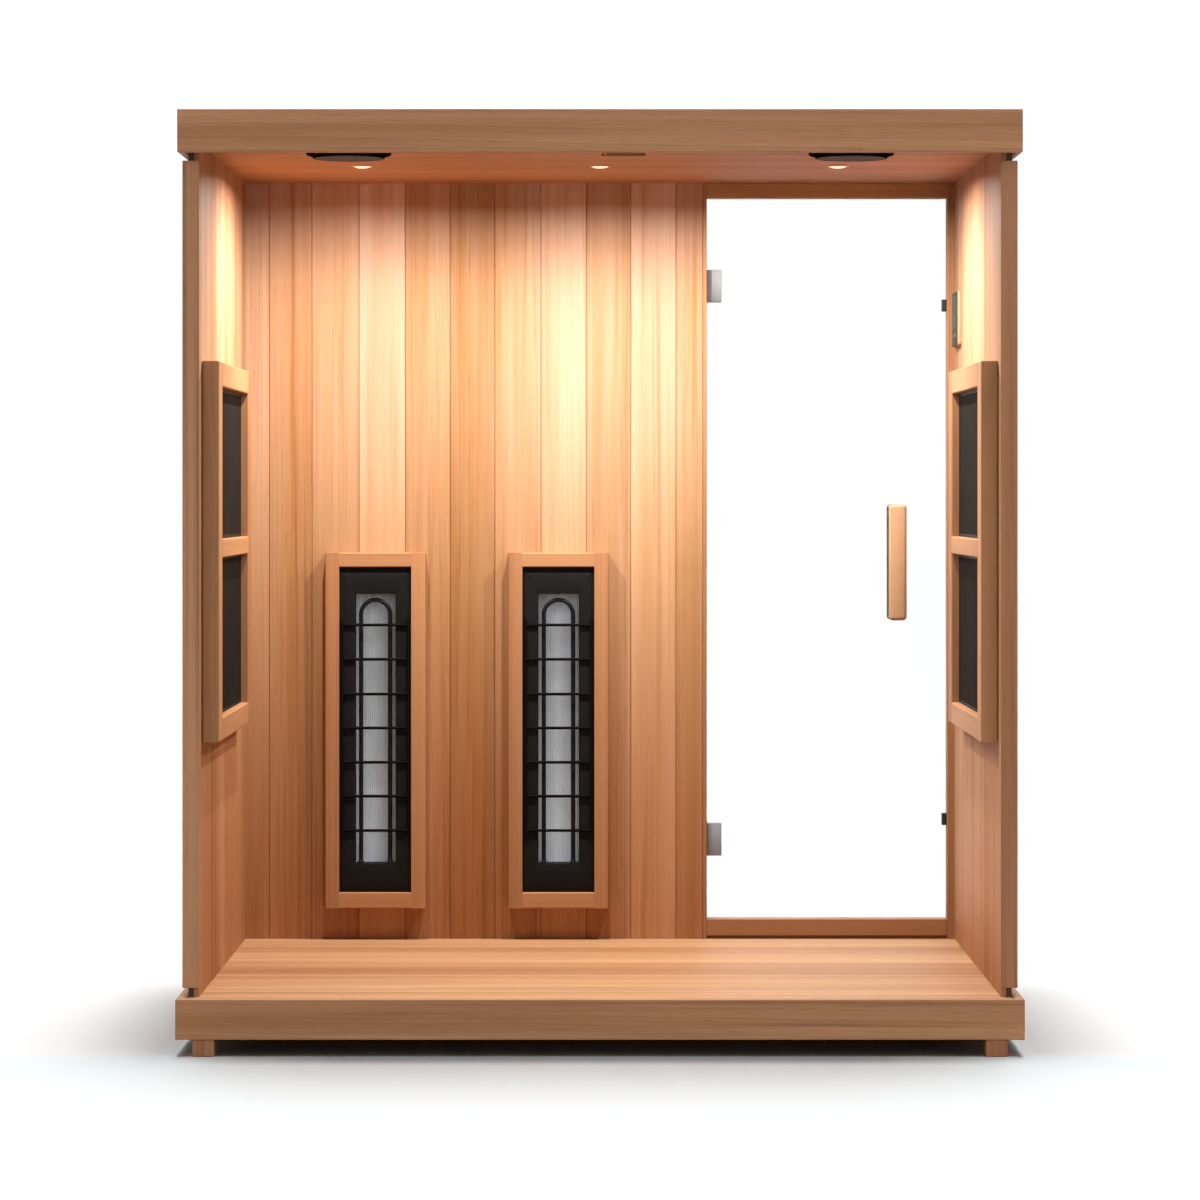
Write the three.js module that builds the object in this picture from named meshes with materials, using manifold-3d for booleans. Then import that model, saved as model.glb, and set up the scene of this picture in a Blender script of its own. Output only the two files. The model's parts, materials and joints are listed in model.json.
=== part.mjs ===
import * as THREE from 'three';
import { mergeVertices } from 'three/addons/utils/BufferGeometryUtils.js';
import Module from 'manifold-3d';

const wasm = await Module();
wasm.setup();

// Infrared sauna cabin, shown with its open rear towards -Y and its door wall at +Y.
// Millimetres, +X to the right when looking in through the open rear, +Z up.

// ---------------------------------------------------------------- overall
const CABIN_H = 1950;              // floor to top of the roof fascia
const BASE_HALF_W = 874;           // outside of the base fascia
const BASE_HALF_D = 600;
const ROOF_HALF_W = 870;           // outside of the roof fascia
const GAP = 0.3;                   // joint line between neighbouring pieces

// ---------------------------------------------------------------- base
const FOOT_H = 35;
const FOOT_X = [794, 839];         // inner and outer side of a foot
const FOOT_Y = [520, 598];
const FLOOR_Z = 118;               // walking surface, level with the base fascia top
const DECK_T = 18;
const FASCIA_T = 22;               // board thickness of the base and roof fascia

// ---------------------------------------------------------------- walls
const WALL_IN = 828.9;             // inner face of a side wall
const WALL_OUT = 863.5;            // outer face of a side wall
const CLAD_T = 11.1;               // tongue-and-groove cladding
const CORE_IN = WALL_IN + CLAD_T + GAP;
const CORE_OUT = 851.7;
const REAR_END_Y = -558;           // rear ends of the side walls
const END_TRIM_T = 6;
const FRONT_IN_Y = 545;            // inner face of the door wall
const FRONT_OUT_Y = 590;
const FRONT_CORE_Y = [556.3, 577.7];
const CLAD_OUT_Z = [136.8, 1847.3];
const CEILING_Z = 1885.6;

// ---------------------------------------------------------------- roof
const ROOF_FASCIA_Z = 1861.4;
const ROOF_SIDE_IN = 852.5;
const ROOF_PANEL_T = 31.4;
const VENT_X = [4, 97];            // through opening in the roof panel
const VENT_Y = [-377, -237];
const VENT_TRAVEL = 83;
const SLIDER_X = [-80, 14];
const SLIDER_Z = [1890, 1896];

// ---------------------------------------------------------------- door
const DOOR_X = [249.8, 812];       // clear opening in the door frame
const DOOR_Z = [164.2, 1850.5];
const DOOR_FRAME_X = [240.9, 851.7];
const GLASS_X = [252.5, 809.5];
const GLASS_Y = [579, 587];
const GLASS_Z = [167, 1847.8];
const HINGE_Z = [348, 1646];
const HINGE_HALF = 38;
const HINGE_AXIS = [250.5, 598.5]; // x, y of the vertical hinge pins
const PIN_R = 3;
const KNUCKLE_R = 5.5;
const KNUCKLE_HALF = 12.5;         // half height of the door's own knuckle
const HANDLE_X = [675.5, 717];
const HANDLE_Z = [862.6, 1133.8];
const HANDLE_POST_Z = [930, 1066];
const HANDLE_T = 22;
const HANDLE_STANDOFF = 45;        // glass to the far face of the bar
const CATCH_Z = [[382.5, 410.5], [1586, 1614]];

// ---------------------------------------------------------------- heaters
const FRONT_HEATER_X = [-523.8, -97];
const FH = { halfW: 116.5, z: [193, 1021.5], depth: 38, openHalf: 84, openZ: [230, 988] };
const FH_WINDOW = { half: 47.5, z: [296, 925.6] };
const FH_TUB_BACK = 24;            // how far the reflector tub reaches into the wall
const FH_WIRES = [374, 454, 533, 613, 692, 773, 853];
const SIDE_HEATER_Y = -100.5;
const SH = { halfL: 395.5, z: [640, 1435.5], depth: 35.6, openHalf: 317 };
const SH_UPPER = [1062.5, 1384];
const SH_LOWER = [688, 1024];
const SH_PANEL_FACE = 18.6;        // carbon panel face above the wall

// ---------------------------------------------------------------- fittings
const SPEAKER = { x: 535.5, y: -296, r: 91, drop: 14 };
const DOWNLIGHT = { x: 526.5, y: 47, r: 26, drop: 5.8 };
const CONTROL = { y: 426.5, half: 63.5, z: [1498, 1625], t: 10 };
const BUTTON = { r: 8, y: [-36, 0, 36], z: 1522, proud: 1.5, travel: 1 };

// The outer door handle is the foremost point, so the cabin is moved back to sit on its centre.
const FOREMOST_Y = GLASS_Y[1] + HANDLE_STANDOFF;
const Y_SHIFT = -(FOREMOST_Y - BASE_HALF_D) / 2;

// ---------------------------------------------------------------- materials
const mat = (color, roughness, metalness = 0, extra = {}) =>
  new THREE.MeshStandardMaterial({ color, roughness, metalness, ...extra });
const M = {
  trim: mat(0x956c4b, 0.6),
  floor: mat(0xd9a878, 0.55),
  inner: mat(0xdca876, 0.55),
  outer: mat(0xb07c50, 0.6),
  core: mat(0x6f4a30, 0.8),
  doorFrame: mat(0xb06c42, 0.55),
  heaterFrame: mat(0xc98a58, 0.5),
  black: mat(0x1b1a1a, 0.45, 0.6),
  reflector: mat(0xa9a9ac, 0.35, 0.9),
  element: mat(0x141414, 0.4, 0.5),
  carbon: mat(0x3a3a3c, 0.7),
  glass: mat(0xf4fbfa, 0.03, 0, { transparent: true, opacity: 0.25 }),
  steel: mat(0xb9bbbd, 0.35, 0.9),
  handle: mat(0xc79a63, 0.45),
  catchBlack: mat(0x151515, 0.5),
  speaker: mat(0x222222, 0.6),
  light: mat(0xf6dcb0, 0.3),
  ceiling: mat(0xc98c5c, 0.55),
  vent: mat(0xb97f54, 0.6),
  panel: mat(0x3c372c, 0.5),
  button: mat(0x4a4c50, 0.35),
  power: mat(0x8d9094, 0.45, 0.7),
};

// ---------------------------------------------------------------- shape helpers
function box(x, y, z) {
  const g = new THREE.BoxGeometry(x[1] - x[0], y[1] - y[0], z[1] - z[0]);
  return g.translate((x[0] + x[1]) / 2, (y[0] + y[1]) / 2, (z[0] + z[1]) / 2);
}
function rod(axis, r, from, to, a, b, sides = 16) {
  const g = new THREE.CylinderGeometry(r, r, to - from, sides);
  const mid = (from + to) / 2;
  if (axis === 'z') return g.rotateX(Math.PI / 2).translate(a, b, mid);
  if (axis === 'x') return g.rotateZ(Math.PI / 2).translate(mid, a, b);
  return g.translate(a, mid, b);
}
function lathe(profile, sides) {
  const pts = profile.map(([r, z]) => new THREE.Vector2(r, z));
  return new THREE.LatheGeometry(pts, sides).rotateX(Math.PI / 2);
}
function toSolid(geometry) {
  let g = geometry.clone();
  g.deleteAttribute('normal');
  g.deleteAttribute('uv');
  g = mergeVertices(g, 1e-4);
  return new wasm.Manifold(new wasm.Mesh({
    numProp: 3,
    vertProperties: new Float32Array(g.attributes.position.array),
    triVerts: new Uint32Array(g.index.array),
  }));
}
function toGeometry(solid) {
  const m = solid.getMesh();
  const pos = new Float32Array(m.numVert * 3);
  for (let i = 0; i < m.numVert; i++) {
    for (let k = 0; k < 3; k++) pos[3 * i + k] = m.vertProperties[m.numProp * i + k];
  }
  const g = new THREE.BufferGeometry();
  g.setAttribute('position', new THREE.BufferAttribute(pos, 3));
  g.setIndex(new THREE.BufferAttribute(new Uint32Array(m.triVerts), 1));
  g.computeVertexNormals();
  return g;
}
const join = (first, ...rest) =>
  toGeometry(rest.reduce((s, g) => s.add(toSolid(g)), toSolid(first)));
const cut = (first, ...rest) =>
  toGeometry(rest.reduce((s, g) => s.subtract(toSolid(g)), toSolid(first)));

const cabin = new THREE.Group();
cabin.position.y = Y_SHIFT;
function group(x = 0, y = 0, z = 0, turn = 0) {
  const g = new THREE.Group();
  g.position.set(x, y, z);
  g.rotation.z = turn;
  cabin.add(g);
  return g;
}
function add(parent, name, geometry, material) {
  const m = new THREE.Mesh(geometry, material);
  m.name = name;
  parent.add(m);
  return m;
}
const both = (v) => [-v, v];
const side = (s, a, b) => (s < 0 ? [-b, -a] : [a, b]);

// ================================================================ base
const base = group();
// Fascia boards screwed together as one frame, with two long joists inside it above the feet.
add(base, 'base_frame', cut(
  box(both(BASE_HALF_W), both(BASE_HALF_D), [FOOT_H, FLOOR_Z]),
  box(both(BASE_HALF_W - FASCIA_T), both(BASE_HALF_D - FASCIA_T), [FOOT_H - 10, FLOOR_Z + 10])), M.trim);
for (const [name, s] of [['floor_joist_left', -1], ['floor_joist_right', 1]]) {
  add(base, name, box(side(s, ...FOOT_X), both(BASE_HALF_D - FASCIA_T - GAP),
    [FOOT_H, FLOOR_Z - DECK_T - GAP]), M.core);
}
add(base, 'floor_deck', box(both(BASE_HALF_W - FASCIA_T - GAP), both(BASE_HALF_D - FASCIA_T - GAP),
  [FLOOR_Z - DECK_T, FLOOR_Z]), M.floor);
for (const [name, sx, sy] of [['foot_rear_left', -1, -1], ['foot_rear_right', 1, -1],
  ['foot_front_left', -1, 1], ['foot_front_right', 1, 1]]) {
  add(base, name, box(side(sx, ...FOOT_X), side(sy, ...FOOT_Y), [0, FOOT_H - GAP]), M.trim);
}

// ================================================================ side walls
for (const [name, s] of [['left', -1], ['right', 1]]) {
  const wall = group();
  const wallZ = [FLOOR_Z + GAP, CEILING_Z - GAP];
  const wallY = [REAR_END_Y + END_TRIM_T + GAP, FRONT_IN_Y - GAP];
  add(wall, `${name}_wall_inner_cladding`,
    box(side(s, WALL_IN, WALL_IN + CLAD_T), [REAR_END_Y + END_TRIM_T + GAP, wallY[1]], wallZ), M.inner);
  // Core panel with the stile that closes its rear end; the stile stops short at both ends.
  add(wall, `${name}_wall_frame`, join(
    box(side(s, CORE_IN, CORE_OUT), [REAR_END_Y + END_TRIM_T - 1, wallY[1]], wallZ),
    box(side(s, WALL_IN, WALL_OUT), [REAR_END_Y, REAR_END_Y + END_TRIM_T], CLAD_OUT_Z),
  ), M.core);
  add(wall, `${name}_wall_outer_cladding`,
    box(side(s, CORE_OUT + GAP, WALL_OUT), [REAR_END_Y + END_TRIM_T + GAP, FRONT_OUT_Y], CLAD_OUT_Z), M.outer);
}

// ================================================================ door wall
const frontWall = group();
const heaterHoles = (y) => FRONT_HEATER_X.map((x) =>
  box([x - FH_WINDOW.half - 2.5, x + FH_WINDOW.half + 2.5], y, [FH_WINDOW.z[0] - 3, FH_WINDOW.z[1] + 3]));
const frontX = [-CORE_OUT, DOOR_FRAME_X[0] - GAP];
add(frontWall, 'front_wall_inner_cladding', cut(
  box(frontX, [FRONT_IN_Y, FRONT_IN_Y + CLAD_T - 0.1], [FLOOR_Z + GAP, CEILING_Z - GAP]),
  ...heaterHoles([FRONT_IN_Y - 10, FRONT_IN_Y + CLAD_T + 10])), M.inner);
add(frontWall, 'front_wall_core', cut(
  box(frontX, FRONT_CORE_Y, [FLOOR_Z + GAP, CEILING_Z - GAP]),
  ...heaterHoles([FRONT_CORE_Y[0] - 10, FRONT_CORE_Y[1] + 10])), M.core);
add(frontWall, 'front_wall_outer_cladding',
  box(frontX, [FRONT_CORE_Y[1] + GAP, FRONT_OUT_Y], CLAD_OUT_Z), M.outer);
// Hinge jamb, latch jamb, header and sill; the header's top steps back behind the roof fascia.
add(frontWall, 'door_frame', join(
  cut(box(DOOR_FRAME_X, [FRONT_IN_Y, FRONT_OUT_Y], [FLOOR_Z + GAP, ROOF_FASCIA_Z - GAP]),
    box(DOOR_X, [FRONT_IN_Y - 20, FRONT_OUT_Y + 20], DOOR_Z)),
  box(DOOR_FRAME_X, [FRONT_IN_Y, FRONT_CORE_Y[1]], [ROOF_FASCIA_Z - 2, CEILING_Z - GAP]),
), M.doorFrame);

// ================================================================ roof
const roof = group();
const fasciaZ = [ROOF_FASCIA_Z, CABIN_H];
const roofInY = BASE_HALF_D - FASCIA_T;
add(roof, 'roof_fascia_rear', box(both(ROOF_HALF_W), [-BASE_HALF_D, -roofInY], fasciaZ), M.trim);
add(roof, 'roof_fascia_front', box(both(ROOF_HALF_W), [roofInY, BASE_HALF_D], fasciaZ), M.trim);
add(roof, 'roof_fascia_left', box(side(-1, ROOF_SIDE_IN, ROOF_HALF_W), both(roofInY - GAP), fasciaZ), M.trim);
add(roof, 'roof_fascia_right', box(side(1, ROOF_SIDE_IN, ROOF_HALF_W), both(roofInY - GAP), fasciaZ), M.trim);
// Sandwich roof panel with the vent opening and the slot that the vent slider runs in.
const roofTop = CEILING_Z + ROOF_PANEL_T;
add(roof, 'roof_panel', cut(
  box(both(ROOF_SIDE_IN - GAP), both(roofInY - GAP), [CEILING_Z, roofTop]),
  box(VENT_X, VENT_Y, [CEILING_Z - 10, roofTop + 10]),
  box([SLIDER_X[0] - 2, VENT_X[1] + 3], [VENT_Y[0] - 8, VENT_Y[1] + 8], [SLIDER_Z[0] - 0.6, SLIDER_Z[1] + 0.6]),
), M.ceiling);
// Vent slider: a thin board with a finger lip hanging into the opening.
add(roof, 'vent_slider', join(
  box(SLIDER_X, [VENT_Y[0] - 7, VENT_Y[1] + 7], SLIDER_Z),
  box([SLIDER_X[1] - 6, SLIDER_X[1]], [VENT_Y[0] + 25, VENT_Y[1] - 25], [CEILING_Z - 2, SLIDER_Z[0] + 1]),
), M.vent);
add(roof, 'vent_frame', cut(
  box([VENT_X[0] - 12, VENT_X[1] + 12], [VENT_Y[0] - 12, VENT_Y[1] + 12], [CEILING_Z - GAP - 2, CEILING_Z - GAP]),
  box([VENT_X[0] - 1, VENT_X[1] + 1], [VENT_Y[0] - 1, VENT_Y[1] + 1], [CEILING_Z - 20, CEILING_Z + 20]),
), M.vent);
// Power supply and controller in the tray on top of the roof: a sheet-metal cover, open underneath
// where it is screwed down, with the mains inlet gland on its right end.
add(roof, 'power_unit', join(
  cut(box([-190, 190], [60, 290], [roofTop + GAP, CABIN_H - 3]),
    box([-188.5, 188.5], [61.5, 288.5], [roofTop - 10, CABIN_H - 4.5])),
  rod('x', 9, 189, 206, 175, roofTop + 15, 12),
), M.power);

for (const [name, s] of [['left', -1], ['right', 1]]) {
  const g = group(s * SPEAKER.x, SPEAKER.y, CEILING_Z);
  add(g, `speaker_${name}`, lathe([[0, -SPEAKER.drop], [66, -13.4], [75, -12.8], [76.8, -11], [76.8, -7],
    [86, -6.8], [SPEAKER.r, -3.6], [SPEAKER.r, -GAP], [0, -GAP]], 32), M.speaker);
}
for (const [name, k] of [['left', -1], ['centre', 0], ['right', 1]]) {
  const g = group(k * DOWNLIGHT.x, DOWNLIGHT.y, CEILING_Z);
  add(g, `downlight_${name}`, lathe([[0, -DOWNLIGHT.drop], [8, -5.4], [14, -4.4], [18, -2.9], [22.5, -2.9],
    [DOWNLIGHT.r, -1.6], [DOWNLIGHT.r, -GAP], [0, -GAP]], 24), M.light);
}

// ================================================================ heaters in the door wall
FRONT_HEATER_X.forEach((cx, i) => {
  const name = `front_heater_${i === 0 ? 'left' : 'right'}`;
  const g = group(cx, FRONT_IN_Y, 0);
  const face = -FH.depth + 8;      // steel face, set back inside the wooden frame
  add(g, `${name}_frame`, cut(
    box(both(FH.halfW), [-FH.depth, -GAP], FH.z),
    box(both(FH.openHalf), [-FH.depth - 10, 10], FH.openZ)), M.heaterFrame);
  // Pressed steel housing: face plate with folded edges and a tub that reaches into the wall.
  const half = FH.openHalf - GAP;
  const hz = [FH.openZ[0] + GAP, FH.openZ[1] - GAP];
  const w = FH_WINDOW;
  add(g, `${name}_housing`, cut(join(
    cut(box(both(half), [face, -0.6], hz),
      box(both(half - 1.5), [face + 2, 10], [hz[0] + 1.5, hz[1] - 1.5])),
    box(both(w.half + 1.5), [face + 1, FH_TUB_BACK], [w.z[0] - 1.5, w.z[1] + 1.5])),
  box(both(w.half), [face - 10, FH_TUB_BACK - 1.5], w.z)), M.black);
  // Ribbed reflector sheet at the back of the tub.
  const ribs = 16;
  const rw = w.half - 0.5;
  const pitch = (2 * rw) / ribs;
  const outline = new THREE.Shape();
  outline.moveTo(-rw, FH_TUB_BACK - 1.5 - GAP);
  outline.lineTo(rw, FH_TUB_BACK - 1.5 - GAP);
  for (let k = 0; k < ribs; k++) {
    const x = rw - k * pitch;
    outline.lineTo(x, 19);
    outline.lineTo(x - pitch * 0.3, 16.5);
    outline.lineTo(x - pitch * 0.7, 16.5);
  }
  outline.lineTo(-rw, 19);
  const sheet = new THREE.ExtrudeGeometry(outline, { depth: w.z[1] - w.z[0] - 1, bevelEnabled: false });
  sheet.translate(0, 0, w.z[0] + 0.5);
  add(g, `${name}_reflector`, sheet, M.reflector);
  // Hairpin heating element, both terminals at the bottom of the tub.
  const legX = 34, tubeR = 5, archZ = 877, elementY = -18;
  class Hairpin extends THREE.Curve {
    getPoint(t, target = new THREE.Vector3()) {
      const leg = archZ - (w.z[0] + 0.6), arc = Math.PI * legX, total = 2 * leg + arc;
      const d = t * total;
      if (d <= leg) return target.set(-legX, elementY, w.z[0] + 0.6 + d);
      if (d >= leg + arc) return target.set(legX, elementY, archZ - (d - leg - arc));
      const a = (d - leg) / legX;
      return target.set(-legX * Math.cos(a), elementY, archZ + legX * Math.sin(a));
    }
  }
  const round = new THREE.Shape();
  round.absarc(0, 0, tubeR, 0, Math.PI * 2, false);
  add(g, `${name}_element`, new THREE.ExtrudeGeometry(round,
    { steps: 56, extrudePath: new Hairpin(), curveSegments: 4, bevelEnabled: false }), M.element);
  // Guard: bars welded across two side wires, resting on the steel face.
  const wireR = 3.4, wireY = face - GAP - wireR;
  add(g, `${name}_guard`, join(
    rod('z', wireR, FH_WIRES[0] - 14, FH_WIRES[6] + 14, -77, wireY, 8),
    ...FH_WIRES.map((z) => rod('x', wireR, -79, 79, wireY, z, 8)),
    rod('z', wireR, FH_WIRES[0] - 14, FH_WIRES[6] + 14, 77, wireY, 8)), M.black);
});

// ================================================================ heaters on the side walls
for (const [name, s] of [['left', -1], ['right', 1]]) {
  const g = group(s * WALL_IN, SIDE_HEATER_Y, 0, s < 0 ? 0 : Math.PI);
  add(g, `side_heater_${name}_frame`, cut(
    box([GAP, SH.depth], both(SH.halfL), SH.z),
    box([-10, SH.depth + 10], both(SH.openHalf), SH_UPPER),
    box([-10, SH.depth + 10], both(SH.openHalf), SH_LOWER)), M.heaterFrame);
  for (const [level, z] of [['upper', SH_UPPER], ['lower', SH_LOWER]]) {
    add(g, `side_heater_${name}_${level}_panel`,
      box([GAP, SH_PANEL_FACE], both(SH.openHalf - GAP), [z[0] + GAP, z[1] - GAP]), M.carbon);
  }
}

// ================================================================ door
const door = group();
const [ax, ay] = HINGE_AXIS;
add(door, 'door_glass', cut(box(GLASS_X, GLASS_Y, GLASS_Z),
  ...HINGE_Z.map((z) => box([GLASS_X[0] - 5, 264], [GLASS_Y[0] - 5, GLASS_Y[1] + 5], [z - 20, z + 20])),
  ...HANDLE_POST_Z.map((z) => rod('y', 4.5, GLASS_Y[0] - 5, GLASS_Y[1] + 5, (HANDLE_X[0] + HANDLE_X[1]) / 2, z, 16)),
), M.glass);
HINGE_Z.forEach((z, i) => {
  const name = i === 0 ? 'lower' : 'upper';
  const full = [z - HINGE_HALF, z + HINGE_HALF];
  const mid = [z - KNUCKLE_HALF, z + KNUCKLE_HALF];
  // Clamp on the glass: two plates joined through the notch in its edge, and the middle knuckle.
  add(door, `${name}_hinge_clamp`, cut(join(
    box([250.6, 285], [571, GLASS_Y[0] - GAP], full),
    box([253, 263.5], [GLASS_Y[0] - 2, GLASS_Y[1] + 2], [z - 19.5, z + 19.5]),
    box([256.5, 285], [GLASS_Y[1] + GAP, 592.3], full),
    box([ax, 262], [GLASS_Y[1] + 1, ay], mid),
    rod('z', KNUCKLE_R, mid[0], mid[1], ax, ay, 16)),
  rod('z', PIN_R + GAP, mid[0] - 5, mid[1] + 5, ax, ay, 16)), M.steel);
  // Leaf on the hinge jamb with the two outer knuckles and the pin.
  const ends = [[full[0], mid[0] - GAP], [mid[1] + GAP, full[1]]];
  add(frontWall, `${name}_hinge_bracket`, join(
    box([216, 245.5], [FRONT_OUT_Y + GAP, 594.3], full),
    rod('z', PIN_R, full[0] + 1, full[1] - 1, ax, ay, 16),
    ...ends.map((e) => box([241, ax], [593.2, ay], e)),
    ...ends.map((e) => rod('z', KNUCKLE_R, e[0], e[1], ax, ay, 16))), M.steel);
});
const hx = (HANDLE_X[0] + HANDLE_X[1]) / 2;
const innerBar = [GLASS_Y[0] - HANDLE_STANDOFF, GLASS_Y[0] - HANDLE_STANDOFF + HANDLE_T];
const outerBar = [GLASS_Y[1] + HANDLE_STANDOFF - HANDLE_T, GLASS_Y[1] + HANDLE_STANDOFF];
// Inner bar on two posts; the studs pass through the glass into the outer bar's posts.
add(door, 'door_handle_inner', join(
  box(HANDLE_X, innerBar, HANDLE_Z),
  ...HANDLE_POST_Z.map((z) => rod('y', 9, innerBar[1] - 2, GLASS_Y[0] - GAP, hx, z, 16)),
  ...HANDLE_POST_Z.map((z) => rod('y', 4, innerBar[1] + 5, GLASS_Y[1] + 15, hx, z, 16))), M.handle);
add(door, 'door_handle_outer', cut(join(
  box(HANDLE_X, outerBar, HANDLE_Z),
  ...HANDLE_POST_Z.map((z) => rod('y', 9, GLASS_Y[1] + GAP, outerBar[0] + 2, hx, z, 16))),
...HANDLE_POST_Z.map((z) => rod('y', 4.4, GLASS_Y[1] - 5, GLASS_Y[1] + 16, hx, z, 16))), M.handle);
CATCH_Z.forEach((z, i) => {
  add(frontWall, `${i === 0 ? 'lower' : 'upper'}_door_catch`,
    box([800.8, DOOR_X[1] - GAP], [562, GLASS_Y[0] - GAP], z), M.catchBlack);
});

// ================================================================ control panel
const control = group(WALL_IN, CONTROL.y, 0, Math.PI);
add(control, 'control_panel', cut(
  box([GAP, CONTROL.t], both(CONTROL.half), CONTROL.z),
  ...BUTTON.y.map((y) => rod('x', BUTTON.r + 0.4, CONTROL.t - 5, CONTROL.t + 5, y, BUTTON.z, 20))), M.panel);
['light_button', 'power_button', 'heat_button'].forEach((name, i) => {
  add(control, name, rod('x', BUTTON.r, CONTROL.t - 5 + BUTTON.travel + 0.4, CONTROL.t + BUTTON.proud,
    BUTTON.y[i], BUTTON.z, 20), M.button);
});

export default cabin;
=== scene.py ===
import json
import math
import random
import zlib

import bmesh
import bpy
import numpy as np
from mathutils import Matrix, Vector

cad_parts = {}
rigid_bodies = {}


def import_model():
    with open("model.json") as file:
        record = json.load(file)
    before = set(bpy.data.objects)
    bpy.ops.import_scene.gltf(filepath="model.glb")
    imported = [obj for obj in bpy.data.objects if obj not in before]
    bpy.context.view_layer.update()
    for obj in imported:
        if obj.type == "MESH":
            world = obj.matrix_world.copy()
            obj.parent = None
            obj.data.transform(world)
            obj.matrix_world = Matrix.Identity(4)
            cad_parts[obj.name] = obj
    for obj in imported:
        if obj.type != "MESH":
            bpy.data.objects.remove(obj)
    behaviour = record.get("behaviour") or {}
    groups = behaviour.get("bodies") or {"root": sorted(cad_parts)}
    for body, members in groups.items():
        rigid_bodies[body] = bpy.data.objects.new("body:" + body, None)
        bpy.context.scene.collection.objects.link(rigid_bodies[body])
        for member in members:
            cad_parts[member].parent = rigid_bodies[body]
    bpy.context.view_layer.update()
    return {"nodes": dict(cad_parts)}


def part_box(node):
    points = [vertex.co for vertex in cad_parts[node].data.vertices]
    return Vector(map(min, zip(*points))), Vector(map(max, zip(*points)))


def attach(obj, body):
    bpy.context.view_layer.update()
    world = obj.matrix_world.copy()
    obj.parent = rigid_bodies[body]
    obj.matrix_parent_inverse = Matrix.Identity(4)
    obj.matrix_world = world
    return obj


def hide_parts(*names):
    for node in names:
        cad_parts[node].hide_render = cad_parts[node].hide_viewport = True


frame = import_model()
NODES = frame["nodes"]
scene = bpy.context.scene

# The cabin is drawn in millimetres with its own middle at y 0, then carried back to the frame's y.
Y_SHIFT = -16.0
DOME_SIDE = 0.14
BANK_LEVEL, BANK_X, BANK_Y, BANK_AT, BANK_RIGHT = 17.0, 0.13, 0.21, 0.12, 0.03


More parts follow.
